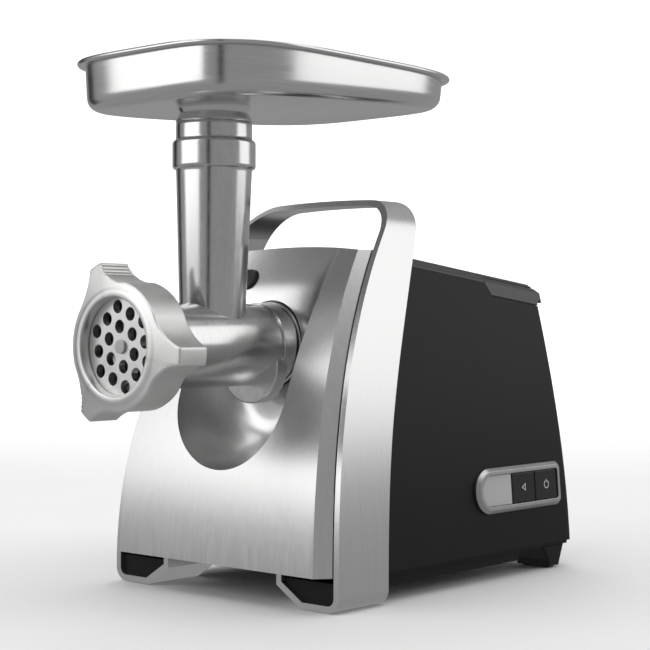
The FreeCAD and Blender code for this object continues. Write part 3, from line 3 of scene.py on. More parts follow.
import bmesh
import bpy
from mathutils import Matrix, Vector


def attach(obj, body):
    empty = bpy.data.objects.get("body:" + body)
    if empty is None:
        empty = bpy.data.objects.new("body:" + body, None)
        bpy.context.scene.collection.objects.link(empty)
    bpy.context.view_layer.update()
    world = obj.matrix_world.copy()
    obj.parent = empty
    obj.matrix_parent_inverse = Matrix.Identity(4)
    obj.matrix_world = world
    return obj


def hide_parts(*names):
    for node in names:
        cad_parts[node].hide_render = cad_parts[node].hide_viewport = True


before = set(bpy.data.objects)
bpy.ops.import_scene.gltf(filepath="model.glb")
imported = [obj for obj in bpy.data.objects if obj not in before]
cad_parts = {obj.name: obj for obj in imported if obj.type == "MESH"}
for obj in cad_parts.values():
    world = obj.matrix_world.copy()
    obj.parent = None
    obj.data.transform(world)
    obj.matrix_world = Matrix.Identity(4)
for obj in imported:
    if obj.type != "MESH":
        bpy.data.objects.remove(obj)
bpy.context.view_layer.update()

# The model's own sizes, in millimetres. Depths run from the front of the perforated disc.
MID_DEPTH = 167.5
# Height of the worm's axis, and depth of the feed tube's.
AXIS = 157.35
FEED_Y = 76.5
# The band's half width and front edge at the height where its legs begin to curve.
LEG_Z = 10.0
LEG_HALF = 98.2
LEG_FRONT = 81.9
# The front plate: how far its face stands before the band's edge, its lower and upper edges, its sheet,
# the step in from the band's side to its own, and the depth of its side returns behind the band's edge.
PLATE_STAND = 8.8
PLATE_LOW = 21.3
PLATE_HIGH = 220.9
PLATE_SHEET = 1.2
PLATE_GAP = 5.0
RETURN_DEPTH = 2.8
# The pocket: half its width, the height of its round foot's centre, the depth of its upright back, the
# heights between which the back turns to lean with the plate, and that part's stand before the band's edge.
POCKET_HALF = 47.0
POCKET_CENTRE = 126.5
POCKET_BACK = 128.0
POCKET_TURN_LOW = 170.0
POCKET_TURN_HIGH = 202.0
POCKET_STAND = 3.8
# The release button's hole: its middle, the radius of its ends and half the straight between them.
HOLE_X = -27.5
HOLE_Z = 200.0
HOLE_R = 7.9
HOLE_HALF = 1.5
# The locking ring: its radius between the lobes, its lip, its front and back, its front edge's rounding and
# the directions of its lobes.
RING_R = 38.5
LIP_R = 31.6
RING_FRONT = -6.5
RING_BACK = 20.2
RING_EDGE = 0.9
LOBE_ANGLES = (-24.0, 96.0, 216.0)
# The tray: its middle, the height and radius of its rim, its half width and half length, its floor's height
# at the front of the tray and the floor's rise towards the back.
TRAY_Y = 126.0
TRAY_TOP = 334.0
TRAY_RIM = 1.7
TRAY_HALF_X = 86.0
TRAY_HALF_Y = 117.5
TRAY_FLOOR = 301.5
TRAY_RISE = 0.052
# The control panel's face: its height, its depth and how far it is sunk into the side.
PANEL_Z = 60.0
PANEL_Y = 271.9
PANEL_SINK = 4.1
# The marks on the keys: the heights of their foot and their face above the panel's face.
MARK_FOOT = 3.02
MARK_FACE = 3.22
# The camera, in the row frame's metres and in degrees.
CAMERA_SPOT = (0.703149, -0.778217, 0.171084)
CAMERA_AZIMUTH = 41.632
CAMERA_PITCH = -0.064
CAMERA_LENS = 87.27


# ---------------------------------------------------------------- shape helpers
def mm(x, y, z):
    """A point given in the part's own millimetres, in the row frame's metres."""
    return Vector((x * 0.001, (y - MID_DEPTH) * 0.001, z * 0.001))


def flank(z):
    """Half the width over the band's legs at a height."""
    rise = z - LEG_Z
    return LEG_HALF - 0.8e-3 * rise ** 2 + 0.8e-6 * rise ** 3


def lean(z):
    """Depth of the band's front edge at a height."""
    rise = z - LEG_Z
    return LEG_FRONT + 1.1e-3 * rise ** 2 + 2.4e-6 * rise ** 3


def steps(low, high, count):
    return [low + (high - low) * i / (count - 1) for i in range(count)]


def mix(a, b, t):
    return a + (b - a) * t


def eased(t):
    """A step from 0 to 1 with level ends."""
    return t * t * (3 - 2 * t)


def grid_faces(rows, columns, wrap_rows, wrap_columns):
    """Four-sided faces over a grid of points that is stored row by row."""
    faces = []
    for i in range(rows if wrap_rows else rows - 1):
        for j in range(columns if wrap_columns else columns - 1):
            here, above = i * columns, (i + 1) % rows * columns
            beside = (j + 1) % columns
            faces.append((here + j, here + beside, above + beside, above + j))
    return faces


def mesh_object(name, points, faces, smooth=30.0, merge=0.00002):
    """A mesh with outward normals, smooth except across edges sharper than the given angle."""
    mesh = bpy.data.meshes.new(name)
    mesh.from_pydata([mm(*p) for p in points], [], faces)
    work = bmesh.new()
    work.from_mesh(mesh)
    bmesh.ops.remove_doubles(work, verts=work.verts, dist=merge)
    bmesh.ops.recalc_face_normals(work, faces=work.faces)
    work.to_mesh(mesh)
    work.free()
    soften(mesh, smooth)
    obj = bpy.data.objects.new(name, mesh)
    bpy.context.scene.collection.objects.link(obj)
    return obj


def soften(mesh, angle):
    """Smooth shading, except across edges sharper than the angle."""
    mesh.polygons.foreach_set("use_smooth", [True] * len(mesh.polygons))
    mesh.set_sharp_from_angle(angle=math.radians(angle))


def skin(name, rows, wrap_rows=False, wrap_columns=True, caps=False, smooth=30.0):
    """A skin over rows of points, each row with the same count."""
    columns = len(rows[0])
    points = [p for row in rows for p in row]
    faces = grid_faces(len(rows), columns, wrap_rows, wrap_columns)
    if caps:
        faces.append(tuple(range(columns)))
        faces.append(tuple(len(points) - columns + j for j in range(columns))[::-1])
    return mesh_object(name, points, faces, smooth)


def round_angles(count):
    return [2 * math.pi * j / count for j in range(count)]


def turned_rows(profile, height, count):
    """Rows of a surface of revolution about a line along Y at a height. The profile is (radius, y)."""
    rows = []
    for radius, y in profile:
        rows.append([(radius * math.cos(a), y, height + radius * math.sin(a)) for a in round_angles(count)])
    return rows


def upright_rows(profile):
    """Rows about the feed tube's axis, which leans a little forward below the collar; (radius, z)."""
    collar, foot, shift = 269.0, 167.0, 1.5
    rows = []
    for radius, z in profile:
        middle = FEED_Y - shift * max(collar - z, 0.0) / (collar - foot)
        rows.append([(radius * math.cos(a), middle + radius * math.sin(a), z) for a in round_angles(160)])
    return rows


def turned(name, profile, height, count):
    """A closed turned body about a line along Y."""
    return skin(name, turned_rows(profile, height, count), caps=True)


def combine(obj, other, operation):
    """Join or cut with another closed mesh, which is used up."""
    tool = obj.modifiers.new("combine", "BOOLEAN")
    tool.operation = operation
    tool.solver = "EXACT"
    tool.object = other
    bake(obj)
    bpy.data.objects.remove(other)


def bake(obj):
    """Replace an object's mesh by what its modifiers make of it."""
    graph = bpy.context.evaluated_depsgraph_get()
    result = bpy.data.meshes.new_from_object(obj.evaluated_get(graph))
    obj.modifiers.clear()
    obj.data = result


def dress(obj, material, body, slot, *nodes):
    """Give a finished piece its material, its body and the CAD nodes it stands for."""
    obj.data.materials.clear()
    obj.data.materials.append(material)
    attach(obj, body)
    if nodes:
        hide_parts(*nodes)


def paint(material, *names):
    """Put a material on carried-over CAD nodes."""
    for name in names:
        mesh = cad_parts[name].data
        if not mesh.materials:
            mesh.materials.append(material)
        for index in range(len(mesh.materials)):
            mesh.materials[index] = material


# ---------------------------------------------------------------- locking ring
def arc_through(a, b, c, count):
    """Points from a to c on the circle that passes through b."""
    squares = [p[0] ** 2 + p[1] ** 2 for p in (a, b, c)]
    twice = 2 * (a[0] * (b[1] - c[1]) + b[0] * (c[1] - a[1]) + c[0] * (a[1] - b[1]))
    u = (squares[0] * (b[1] - c[1]) + squares[1] * (c[1] - a[1]) + squares[2] * (a[1] - b[1])) / twice
    v = (squares[0] * (c[0] - b[0]) + squares[1] * (a[0] - c[0]) + squares[2] * (b[0] - a[0])) / twice
    radius = math.hypot(a[0] - u, a[1] - v)
    start, middle, end = (math.atan2(p[1] - v, p[0] - u) for p in (a, b, c))
    sweep = (end - start) % math.tau
    if (middle - start) % math.tau > sweep:
        sweep -= math.tau
    turns = [start + sweep * i / (count - 1) for i in range(count)]
    return [(u + radius * math.cos(turn), v + radius * math.sin(turn)) for turn in turns]


def turned_by(point, degrees):
    """Turn a point of the ring's face clockwise, as seen from the front."""
    swing = math.radians(degrees)
    return (point[0] * math.cos(swing) + point[1] * math.sin(swing),
            point[1] * math.cos(swing) - point[0] * math.sin(swing))


def spaced(points, gap):
    """Points of a closed line at an even spacing."""
    closed = points + [points[0]]
    lengths = [math.dist(closed[i], closed[i + 1]) for i in range(len(points))]
    count = int(sum(lengths) / gap)
    result = []
    index, done = 0, 0.0
    for step in range(count):
        target = sum(lengths) * step / count
        while index < len(lengths) - 1 and done + lengths[index] < target:
            done += lengths[index]
            index += 1
        t = (target - done) / max(lengths[index], 1e-9)
        here, after = closed[index], closed[index + 1]
        result.append((mix(here[0], after[0], t), mix(here[1], after[1], t)))
    return result


def relaxed(points, rounds):
    """Round the corners of a closed line."""
    for _ in range(rounds):
        triples = zip(points[-1:] + points[:-1], points, points[1:] + points[:1])
        points = [tuple((a + 2 * b + c) / 4 for a, b, c in zip(*triple)) for triple in triples]
    return points


def outward(points):
    """Outward normals of a closed line that runs clockwise."""
    count = len(points)
    normals = []
    for i in range(count):
        before, after = points[i - 1], points[(i + 1) % count]
        u, v = after[0] - before[0], after[1] - before[1]
        long = math.hypot(u, v) or 1.0
        normals.append((-v / long, u / long))
    return normals


def moved_in(points, normals, depths):
    return [(x - depth * u, z - depth * v) for (x, z), (u, v), depth in zip(points, normals, depths)]


def lobe_line():
    """One lobe that points up: two hollow flanks and a rounded tip."""
    root_x, root_z = turned_by((0.0, RING_R), 35.0)
    tip_x, tip_z = 5.4, 52.1
    lobe = arc_through((-root_x, root_z), (-10.2, 42.1), (-tip_x, tip_z), 14)[:-1]
    lobe += arc_through((-tip_x, tip_z), (0.0, 52.5), (tip_x, tip_z), 7)[:-1]
    return lobe + arc_through((tip_x, tip_z), (9.0, 42.3), (root_x, root_z), 14)


def ring_outline():
    """The ring's outline with its three lobes and the grooves on one flank of each."""
    groove_depth, groove_half = 0.75, 1.15
    lobe = lobe_line()
    outline, grooves = [], []
    for angle in LOBE_ANGLES:
        outline += [turned_by(point, angle) for point in lobe]
        outline += [turned_by((0.0, RING_R), angle + turn) for turn in steps(38.0, 82.0, 14)]
        grooves += [turned_by((8.3 - 0.75 * i, RING_R + 4.2 + 2.6 * i), angle) for i in range(4)]
    outline = relaxed(spaced(outline, 0.4), 5)
    near = [min(math.dist(point, groove) for groove in grooves) for point in outline]
    depths = [groove_depth * max(0.0, 1.0 - (distance / groove_half) ** 2) for distance in near]
    return moved_in(outline, outward(outline), depths)


def ring_face(radius):
    """Depth of the ring's front at a radius: a raised lip, then a shallow cone."""
    lip_height, lip_foot = 0.9, 3.6
    cone_start, cone_slope = 34.0, 0.22
    fall = min(max((radius - LIP_R) / lip_foot, 0.0), 1.0)
    return RING_FRONT + lip_height * eased(fall) + cone_slope * max(radius - cone_start, 0.0)


def make_ring():
    """The ring's bore, mouth, lip, coned face, rounded edge and lobed outside, as one closed skin."""
    outline = ring_outline()
    normals = outward(relaxed(outline, 4))
    angles = [math.atan2(z, x) for x, z in outline]

    def circle(radius):
        return [(radius * math.cos(a), radius * math.sin(a)) for a in angles]

    def along(inset, share=1.0):
        """The outline moved inwards, or part of the way to it from the lip."""
        line = moved_in(outline, normals, [inset] * len(outline))
        return [(mix(lip[0], x, share), mix(lip[1], z, share)) for lip, (x, z) in zip(circle(LIP_R), line)]

    def flat(line, y):
        return [(x, y, AXIS + z) for x, z in line]

    def lifted(line, depth):
        return [(x, ring_face(math.hypot(x, z)) + depth, AXIS + z) for x, z in line]

    bore = ((34.4, RING_BACK), (34.4, 0.6), (34.1, 0.3), (29.5, 0.3), (29.2, 0.0))
    mouth = ((29.2, -5.6), (29.3, -6.1), (29.7, -6.4), (30.2, RING_FRONT), (31.2, RING_FRONT))
    rows = [flat(circle(radius), y) for radius, y in bore + mouth]
    rows += [lifted(circle(LIP_R + 0.6 * i), 0.0) for i in range(7)]
    rows += [lifted(along(RING_EDGE, share), 0.0) for share in (0.75, 0.9, 1.0)]
    for turn in (22, 45, 67, 90):
        swing = math.radians(turn)
        line = along(RING_EDGE - RING_EDGE * math.sin(swing))
        rows.append(lifted(line, RING_EDGE - RING_EDGE * math.cos(swing)))
    rows.append(lifted(along(0.0), 1.4))
    rows += [flat(along(0.0), y) for y in (8.0, RING_BACK - 1.6, RING_BACK - 1.0)]
    rows += [flat(along(0.3), RING_BACK - 0.3), flat(along(1.0), RING_BACK)]
    ring = skin("locking_ring_skin", rows, wrap_rows=True, smooth=50.0)
    dress(ring, RING, "ring", "cast_alloy", "locking_ring")


# ---------------------------------------------------------------- grinder head
def make_head():
    """Barrel, tapered feed tube, collar, coupling rim and lug as one hollow casting."""
    mouth = [(33.6, 0.6), (34.0, 1.0), (34.0, 1.6), (34.0, 15.8), (34.0, 16.4)]
    shoulder = [(33.0, 17.0), (30.4, 19.2), (27.6, 22.2), (26.4, 24.2), (26.0, 26.5)]
    barrel = [(26.0, 27.6), (26.0, 109.6), (26.0, 110.6), (25.5, 111.4), (25.0, 111.8), (25.0, 112.7)]
    rim = [(26.1, 112.9), (26.5, 113.4), (26.5, 114.0), (26.5, 124.0), (26.5, 124.6), (26.1, 125.1)]
    spigot = [(24.2, 125.1), (24.0, 125.5), (24.0, 132.4), (23.4, 133.0)]
    head = turned("grinder_head_skin", mouth + shoulder + barrel + rim + spigot, AXIS, 180)
    cone = [(20.2, AXIS + 10.0), (23.56, 264.6), (23.6, 265.6), (23.8, 266.3), (24.6, 266.6)]
    collar = [(25.5, 267.2), (25.9, 268.2), (25.9, 269.0), (25.9, 281.8), (25.9, 282.6), (25.5, 283.6)]
    neck = [(24.6, 284.3), (23.9, 284.8), (23.7, 285.6), (23.7, 286.4)]
    top = [(23.7, 293.4), (23.7, 294.2), (23.3, 295.0)]
    combine(head, skin("feed", upright_rows(cone + collar + neck + top), caps=True), "UNION")
    lug = [(23.8, 107.5), (24.6, 108.2), (24.6, 116.8), (23.8, 117.5)]
    combine(head, turned("lug", lug, AXIS - 12.8, 140), "UNION")
    disc_seat = [(31.15, -1.0), (31.15, 12.6)]
    worm_bore = [(22.6, 20.6), (22.6, 104.0)]
    stub_bore = [(9.05, 104.0), (9.05, 111.0)]
    socket_bore = [(21.4, 111.0), (21.4, 140.0)]
    combine(head, turned("bore", disc_seat + worm_bore + stub_bore + socket_bore, AXIS, 120), "DIFFERENCE")
    throat = [(17.4, AXIS + 10.0), (20.7, 262.0), (20.7, 300.0)]
    combine(head, skin("throat", upright_rows(throat), caps=True), "DIFFERENCE")
    soften(head.data, 32.0)
    dress(head, POLISHED, "head", "cast_alloy", "grinder_head")


# ---------------------------------------------------------------- tray
def tray_ring(inset, height):
    """The tray's plan as a rounded, slightly barrel-sided oblong. The height is a function of y."""
    count, power = 200, 2 / 3.8
    row = []
    for index in range(count):
        angle = 2 * math.pi * (index + 0.5) / count
        along = math.copysign(abs(math.cos(angle)) ** power, math.cos(angle))
        across = math.copysign(abs(math.sin(angle)) ** power, math.sin(angle))
        y = TRAY_Y + (TRAY_HALF_Y - inset) * across
        row.append(((TRAY_HALF_X - inset) * along, y, height(y)))
    return row


def spout_ring(radius, height):
    """A circle about the feed tube's axis. Each point faces its partner on the tray's plan."""
    row = []
    for partner in tray_ring(0.0, level(0.0)):
        angle = math.atan2(partner[1] - FEED_Y, partner[0])
        y = FEED_Y + radius * math.sin(angle)
        row.append((radius * math.cos(angle), y, height(y)))
    return row


def floor_line(lift):
    """Height along the tray's sloping floor."""
    front = 11.0
    return lambda y: TRAY_FLOOR + TRAY_RISE * (y - front) + lift


def level(z):
    """The same height everywhere."""
    return lambda y: z


def wall_foot(inset, lift, radius):
    """Rows of the rounded foot of the tray's wall, from the floor up."""
    rows = []
    for turn in range(0, 105, 15):
        swing = math.radians(turn)
        reach = inset + radius * (1 - math.sin(swing))
        rows.append(tray_ring(reach, floor_line(lift + radius * (1 - math.cos(swing)))))
    return rows


def make_tray():
    """Pan with a rolled rim, a rounded foot of the wall and a spout, as one closed skin."""
    tube = ((20.1, 270.0), (20.4, 270.3), (20.4, 295.4))
    flange = ((23.5, 295.4), (23.7, 295.6), (23.7, 297.0), (23.3, 297.6), (21.6, 301.0))
    rows = [spout_ring(radius, level(z)) for radius, z in tube + flange]
    rows += [spout_ring(radius, floor_line(0.0)) for radius in (23.0, 30.0)]
    rows += wall_foot(5.2, 0.0, 8.5)
    rows.append(tray_ring(5.1, floor_line(9.6)))
    outer_wall = ((4.36, 4.4), (4.3, 3.4), (3.6, 3.1))
    rows += [tray_ring(inset, level(TRAY_TOP - drop)) for inset, drop in outer_wall]
    for turn in range(-120, 100, 20):
        swing = math.radians(turn)
        height = TRAY_TOP - TRAY_RIM + TRAY_RIM * math.sin(swing)
        rows.append(tray_ring(TRAY_RIM - TRAY_RIM * math.cos(swing), level(height)))
    inner_wall = ((3.4, 0.2), (4.8, 1.2), (5.5, 3.4), (5.56, 4.6))
    rows += [tray_ring(inset, level(TRAY_TOP - drop)) for inset, drop in inner_wall]
    rows += wall_foot(6.4, 1.2, 7.7)[::-1]
    mouth = ((24.0, 1.2), (20.6, 1.1), (19.2, 0.4), (18.6, -1.2))
    rows += [spout_ring(radius, floor_line(lift)) for radius, lift in mouth]
    rows += [spout_ring(18.6, level(270.2)), spout_ring(18.9, level(270.0))]
    tray = skin("tray_skin", rows, wrap_rows=True, smooth=40.0)
    dress(tray, TRAY, "hopper", "tray_steel", "tray")


# ---------------------------------------------------------------- front plate
def face_half(z):
    """Half the width of the plate's flat face, inside its slanted cheeks."""
    cheek, taper, foot = 12.6, 0.018, 22.0
    return flank(z) - cheek + taper * (z - foot)


def crown(x):
    """Height of the plate's upper edge, which falls from the middle to its ends."""
    fall, half = 4.9, 73.5
    return PLATE_HIGH - fall * (x / half) ** 2


def face_depth(z):
    return lean(z) - PLATE_STAND


def pocket_rear(z):
    """Depth of the pocket's back: upright behind the coupling, then leaning back with the plate."""
    if z <= POCKET_TURN_LOW:
        return POCKET_BACK
    if z >= POCKET_TURN_HIGH:
        return lean(z) - POCKET_STAND
    span = POCKET_TURN_HIGH - POCKET_TURN_LOW
    t = (z - POCKET_TURN_LOW) / span
    end = lean(POCKET_TURN_HIGH) - POCKET_STAND
    end_slope = 0.688 * span  # the lean's own slope there
    return mix(POCKET_BACK, end, eased(t)) + end_slope * (t ** 3 - t ** 2)


def pocket_shape(inside, z):
    """Depth at a distance inside the pocket's rim: a soft bowl with a rounded edge and a flat middle."""
    run, middle_power, edge_power = 30.0, 1.9, 0.55
    face = face_depth(z)
    reach = min(inside / run, 1.0)
    return face + (pocket_rear(z) - face) * (1 - (1 - reach) ** middle_power) ** edge_power


def plate_columns():
    """Where each column stands: a share of the height above the pocket's centre, or a direction."""
    corner = math.atan2(PLATE_LOW - POCKET_CENTRE, face_half(PLATE_LOW))
    sides = steps(0.0, corner, 26)
    floor = steps(corner, -math.pi - corner, 61)[1:-1]
    arc = sides + floor + [-math.pi - angle for angle in sides[::-1]]
    ups = steps(1.0, 0.0, 33)[:-1]
    return [("right", t) for t in ups] + [("arc", a) for a in arc] + [("left", t) for t in ups[::-1]]


def arc_edge(angle):
    """Where a line from the pocket's centre meets the edge of the plate's flat face, found by halving."""
    low, high = 0.0, 200.0
    for _ in range(40):
        reach = (low + high) / 2
        x, z = reach * math.cos(angle), POCKET_CENTRE + reach * math.sin(angle)
        if abs(x) > face_half(z) or z < PLATE_LOW:
            high = reach
        else:
            low = reach
    return high


def arc_point(angle, zone, value):
    """A point on a line that fans out from the pocket's centre, or past the edge that the line meets."""
    edge = arc_edge(angle)
    across, up = math.cos(angle), math.sin(angle)
    if zone == "out":
        edge_x, edge_z = edge * across, POCKET_CENTRE + edge * up
        on_side = edge_z > PLATE_LOW + 0.01 or abs(edge_x) > face_half(PLATE_LOW) - 0.05
        if on_side:
            return side_return(math.copysign(1.0, across), edge_z, value)
        return bottom_return(edge_x, edge_z, value)
    reach = mix(edge, POCKET_HALF, value) if zone == "face" else POCKET_HALF - value
    return sheet_point(reach * across, POCKET_CENTRE + reach * up, zone, value)


def upper_point(side, share, zone, value):
    """A point beside or in the pocket's straight part, at a share of the height up to the top edge."""
    if zone == "out":
        return side_return(side, mix(POCKET_CENTRE, crown(face_half(214.0)), share), value)
    reach = POCKET_HALF - value
    if zone == "face":
        z = mix(POCKET_CENTRE, crown(72.0), share)
        reach = mix(face_half(z), POCKET_HALF, value)
    x = side * reach
    return sheet_point(x, mix(POCKET_CENTRE, crown(x), share), zone, value)


def sheet_point(x, z, zone, value):
    return (x, pocket_shape(value, z) if zone == "pocket" else face_depth(z), z)


def side_return(side, z, value):
    """The slanted cheek beside the face up to a value of 1, then the return into the band."""
    edge = flank(z) - PLATE_GAP
    if value <= 1.0:
        return (side * mix(face_half(z), edge, value), lean(z) - PLATE_STAND * (1 - value), z)
    return (side * edge, lean(z) + RETURN_DEPTH * (value - 1.0), z)


def bottom_return(x, z, value):
    """The return along the plate's lower edge."""
    return (x, face_depth(z) + 6.0 * min(value, 1.0), PLATE_LOW)


def plate_point(column, zone, value):
    kind, share = column
    if kind == "arc":
        return arc_point(share, zone, value)
    return upper_point(1.0 if kind == "right" else -1.0, share, zone, value)


def make_plate():
    """Sheet front with rounded folds, its returns and the pocket as a soft bowl."""
    returns = (2.0, 1.5, 1.12, 1.03, 0.97, 0.9, 0.6, 0.3, 0.08, 0.02)
    face = (0.0, 0.02, 0.06, 0.2, 0.4, 0.6, 0.8, 0.92, 0.96, 1.0)
    rim = (0.04, 0.15, 0.35, 0.7, 1.2, 2.0, 3.2, 5.0, 7.5, 10.5)
    bowl = (14.0, 18.0, 22.0, 26.0, 30.0, 36.0, 40.0, POCKET_HALF)
    rows = [("out", v) for v in returns] + [("face", v) for v in face] + [("pocket", v) for v in rim + bowl]
    columns = plate_columns()
    grid = [[plate_point(column, zone, value) for column in columns] for zone, value in rows]
    plate = skin("front_plate_skin", grid, wrap_columns=False, smooth=28.0)
    face_forward(plate)
    thicken(plate, PLATE_SHEET)
    combine(plate, turned("hub", [(28.6, 100.0), (28.6, 140.0)], AXIS, 120), "DIFFERENCE")
    combine(plate, button_cutter(), "DIFFERENCE")
    soften(plate.data, 30.0)
    dress(plate, PLATE, "base", "plate_steel", "front_plate")


def face_forward(obj):
    """Make an open sheet's normals point to the front."""
    total = sum(polygon.normal.y * polygon.area for polygon in obj.data.polygons)
    if total > 0:
        obj.data.flip_normals()


def thicken(obj, thickness):
    """Give a sheet its thickness behind the outer face."""
    tool = obj.modifiers.new("thickness", "SOLIDIFY")
    tool.thickness = thickness * 0.001
    tool.offset = -1.0
    bake(obj)


def button_cutter():
    """Oval tool through the pocket's upper back, square to it."""
    slope = math.atan(lean(HOLE_Z + 0.5) - lean(HOLE_Z - 0.5))
    spot = Vector((HOLE_X, lean(HOLE_Z) - POCKET_STAND, HOLE_Z))
    inward = Vector((0, math.cos(slope), -math.sin(slope)))
    upward = Vector((0, math.sin(slope), math.cos(slope)))
    loop = []
    for angle in round_angles(64):
        reach = HOLE_HALF if math.cos(angle) > 0 else -HOLE_HALF
        loop.append((reach + HOLE_R * math.cos(angle), HOLE_R * math.sin(angle)))
    rows = []
    half_length = 14.0
    for depth in (-half_length, half_length):
        rows.append([tuple(spot + Vector((u, 0, 0)) + upward * v + inward * depth) for u, v in loop])
    return skin("button_hole", rows, caps=True)


# ---------------------------------------------------------------- key marks
def panel_place():
    """Origin and directions of the control panel's face: out of it, down along it and to the back."""
    slope = math.atan((flank(PANEL_Z - 1.0) - flank(PANEL_Z + 1.0)) / 2.0)
    outwards = Vector((math.cos(slope), 0, math.sin(slope)))
    down = Vector((math.sin(slope), 0, -math.cos(slope)))
    return Vector((flank(PANEL_Z) - PANEL_SINK, PANEL_Y, PANEL_Z)), outwards, down


def mark(name, loops, centre, body, slot):
    """Thin raised figure on a key, filled between outer and inner loops of (back, up) points."""
    spot, outwards, down = panel_place()
    back = Vector((0, 1, 0))
    points, faces = [], []
    for outer, inner in loops:
        base, count = len(points), len(outer)
        for lift in (MARK_FOOT, MARK_FACE):
            for ring in (outer, inner):
                for u, v in ring:
                    points.append(tuple(spot + outwards * lift + back * (centre + u) - down * v))
        for i in range(count):
            j = (i + 1) % count
            a, b = base, base + count
            c, e = base + 2 * count, base + 3 * count
            faces += [(a + i, b + i, b + j, a + j), (c + i, c + j, e + j, e + i),
                      (a + i, a + j, c + j, c + i), (b + i, e + i, e + j, b + j)]
    obj = mesh_object(name, points, faces, 30.0, 0.000001)
    dress(obj, MARK, body, slot)


def power_mark():
    """An open ring with a bar."""
    turns = [math.radians(turn) for turn in steps(120.0, 420.0, 41)]
    outer, middle, inner = [[(r * math.cos(t), r * math.sin(t)) for t in turns] for r in (2.9, 2.6, 2.3)]
    band = outer + inner[::-1]
    core = middle + middle[::-1]
    bar = [(-0.3, 1.2), (0.3, 1.2), (0.3, 3.6), (-0.3, 3.6)]
    bar_core = [(0.0, 1.4), (0.0, 1.4), (0.0, 3.4), (0.0, 3.4)]
    mark("power_mark", [(band, core), (bar, bar_core)], 31.0, "power_key", "inlay_silver")


def reverse_mark():
    """A plain triangle that points to the front."""
    outer = [(-2.6, 0.0), (1.8, -2.6), (1.8, 2.6)]
    inner = [(-1.5, 0.0), (1.25, -1.6), (1.25, 1.6)]
    mark("reverse_mark", [(outer, inner)], 4.0, "reverse_key", "inlay_silver")


# ---------------------------------------------------------------- materials
class Look:
    """A Principled material with helpers for noise in the object's own metres."""

    def __init__(self, name, metallic=0.0, rough=0.5, **settings):
        self.material = bpy.data.materials.new(name)
        self.material.use_nodes = True
        self.tree = self.material.node_tree
        self.shader = self.tree.nodes["Principled BSDF"]
        self.set("Metallic", metallic)
        self.set("Roughness", rough)
        for key, value in settings.items():
            self.set(key.replace("_", " "), value)
        self.coordinates = self.tree.nodes.new("ShaderNodeTexCoord").outputs["Object"]
        self.normal = None

    def set(self, socket, value):
        self.shader.inputs[socket].default_value = value

    def link(self, output, socket):
        self.tree.links.new(output, socket)

    def noise(self, scale, detail=3.0, roughness=0.55):
        """Noise with a cell size of 1 / scale metres along each axis."""
        mapping = self.tree.nodes.new("ShaderNodeMapping")
        mapping.inputs["Scale"].default_value = scale
        self.link(self.coordinates, mapping.inputs["Vector"])
        texture = self.tree.nodes.new("ShaderNodeTexNoise")
        texture.inputs["Scale"].default_value = 1.0
        texture.inputs["Detail"].default_value = detail
        texture.inputs["Roughness"].default_value = roughness
        self.link(mapping.outputs["Vector"], texture.inputs["Vector"])
        return texture.outputs[0]

    def spread(self, value, low, high, start=0.3, end=0.7):
        """Map a factor from start..end to low..high."""
        node = self.tree.nodes.new("ShaderNodeMapRange")
        for name, number in (("From Min", start), ("From Max", end), ("To Min", low), ("To Max", high)):
            node.inputs[name].default_value = number
        self.link(value, node.inputs["Value"])
        return node.outputs["Result"]

    def blend(self, a, b, share):
        """Weighted sum of two factors."""
        node = self.tree.nodes.new("ShaderNodeMix")
        node.data_type = "FLOAT"
        node.inputs[0].default_value = share
        self.link(a, node.inputs[2])
        self.link(b, node.inputs[3])
        return node.outputs[0]

    def colour(self, value, dark, light, start=0.3, end=0.7):
        """Run the base colour from dark to light over start..end of a factor."""
        ramp = self.tree.nodes.new("ShaderNodeValToRGB")
        ramp.color_ramp.elements[0].position = start
        ramp.color_ramp.elements[1].position = end
        ramp.color_ramp.elements[0].color = (*dark, 1.0)
        ramp.color_ramp.elements[1].color = (*light, 1.0)
        self.link(value, ramp.inputs["Fac"])
        self.link(ramp.outputs["Color"], self.shader.inputs["Base Color"])

    def roughness(self, value, low, high, start=0.3, end=0.7):
        self.link(self.spread(value, low, high, start, end), self.shader.inputs["Roughness"])

    def soft_edges(self, radius):
        """Round the look of the edges by a radius in metres."""
        node = self.tree.nodes.new("ShaderNodeBevel")
        node.samples = 6
        node.inputs["Radius"].default_value = radius
        self.normal = node.outputs["Normal"]
        self.link(self.normal, self.shader.inputs["Normal"])

    def bump(self, height, distance):
        """Add relief with a depth in metres, on top of any softened edges."""
        node = self.tree.nodes.new("ShaderNodeBump")
        node.inputs["Strength"].default_value = 1.0
        node.inputs["Distance"].default_value = distance
        self.link(height, node.inputs["Height"])
        if self.normal is not None:
            self.link(self.normal, node.inputs["Normal"])
        self.normal = node.outputs["Normal"]
        self.link(self.normal, self.shader.inputs["Normal"])


def grey(shade, warmth=0.0):
    return (shade * (1 + warmth), shade, shade * (1 - warmth))


def brushed(name, fine, coarse, dark, light, rough, depth, edge=None):
    """Steel brushed in one direction: fine and coarse stretched streaks in colour, gloss and relief."""
    look = Look(name, metallic=1.0)
    if edge:
        look.soft_edges(edge)
    hair = look.noise(fine, 2.0)
    streak = look.noise(coarse, 3.0)
    both = look.blend(hair, streak, 0.45)
    look.colour(both, grey(dark, 0.004), grey(light, 0.004), 0.36, 0.64)
    look.roughness(both, rough[0], rough[1], 0.36, 0.64)
    look.bump(hair, depth)
    return look.material


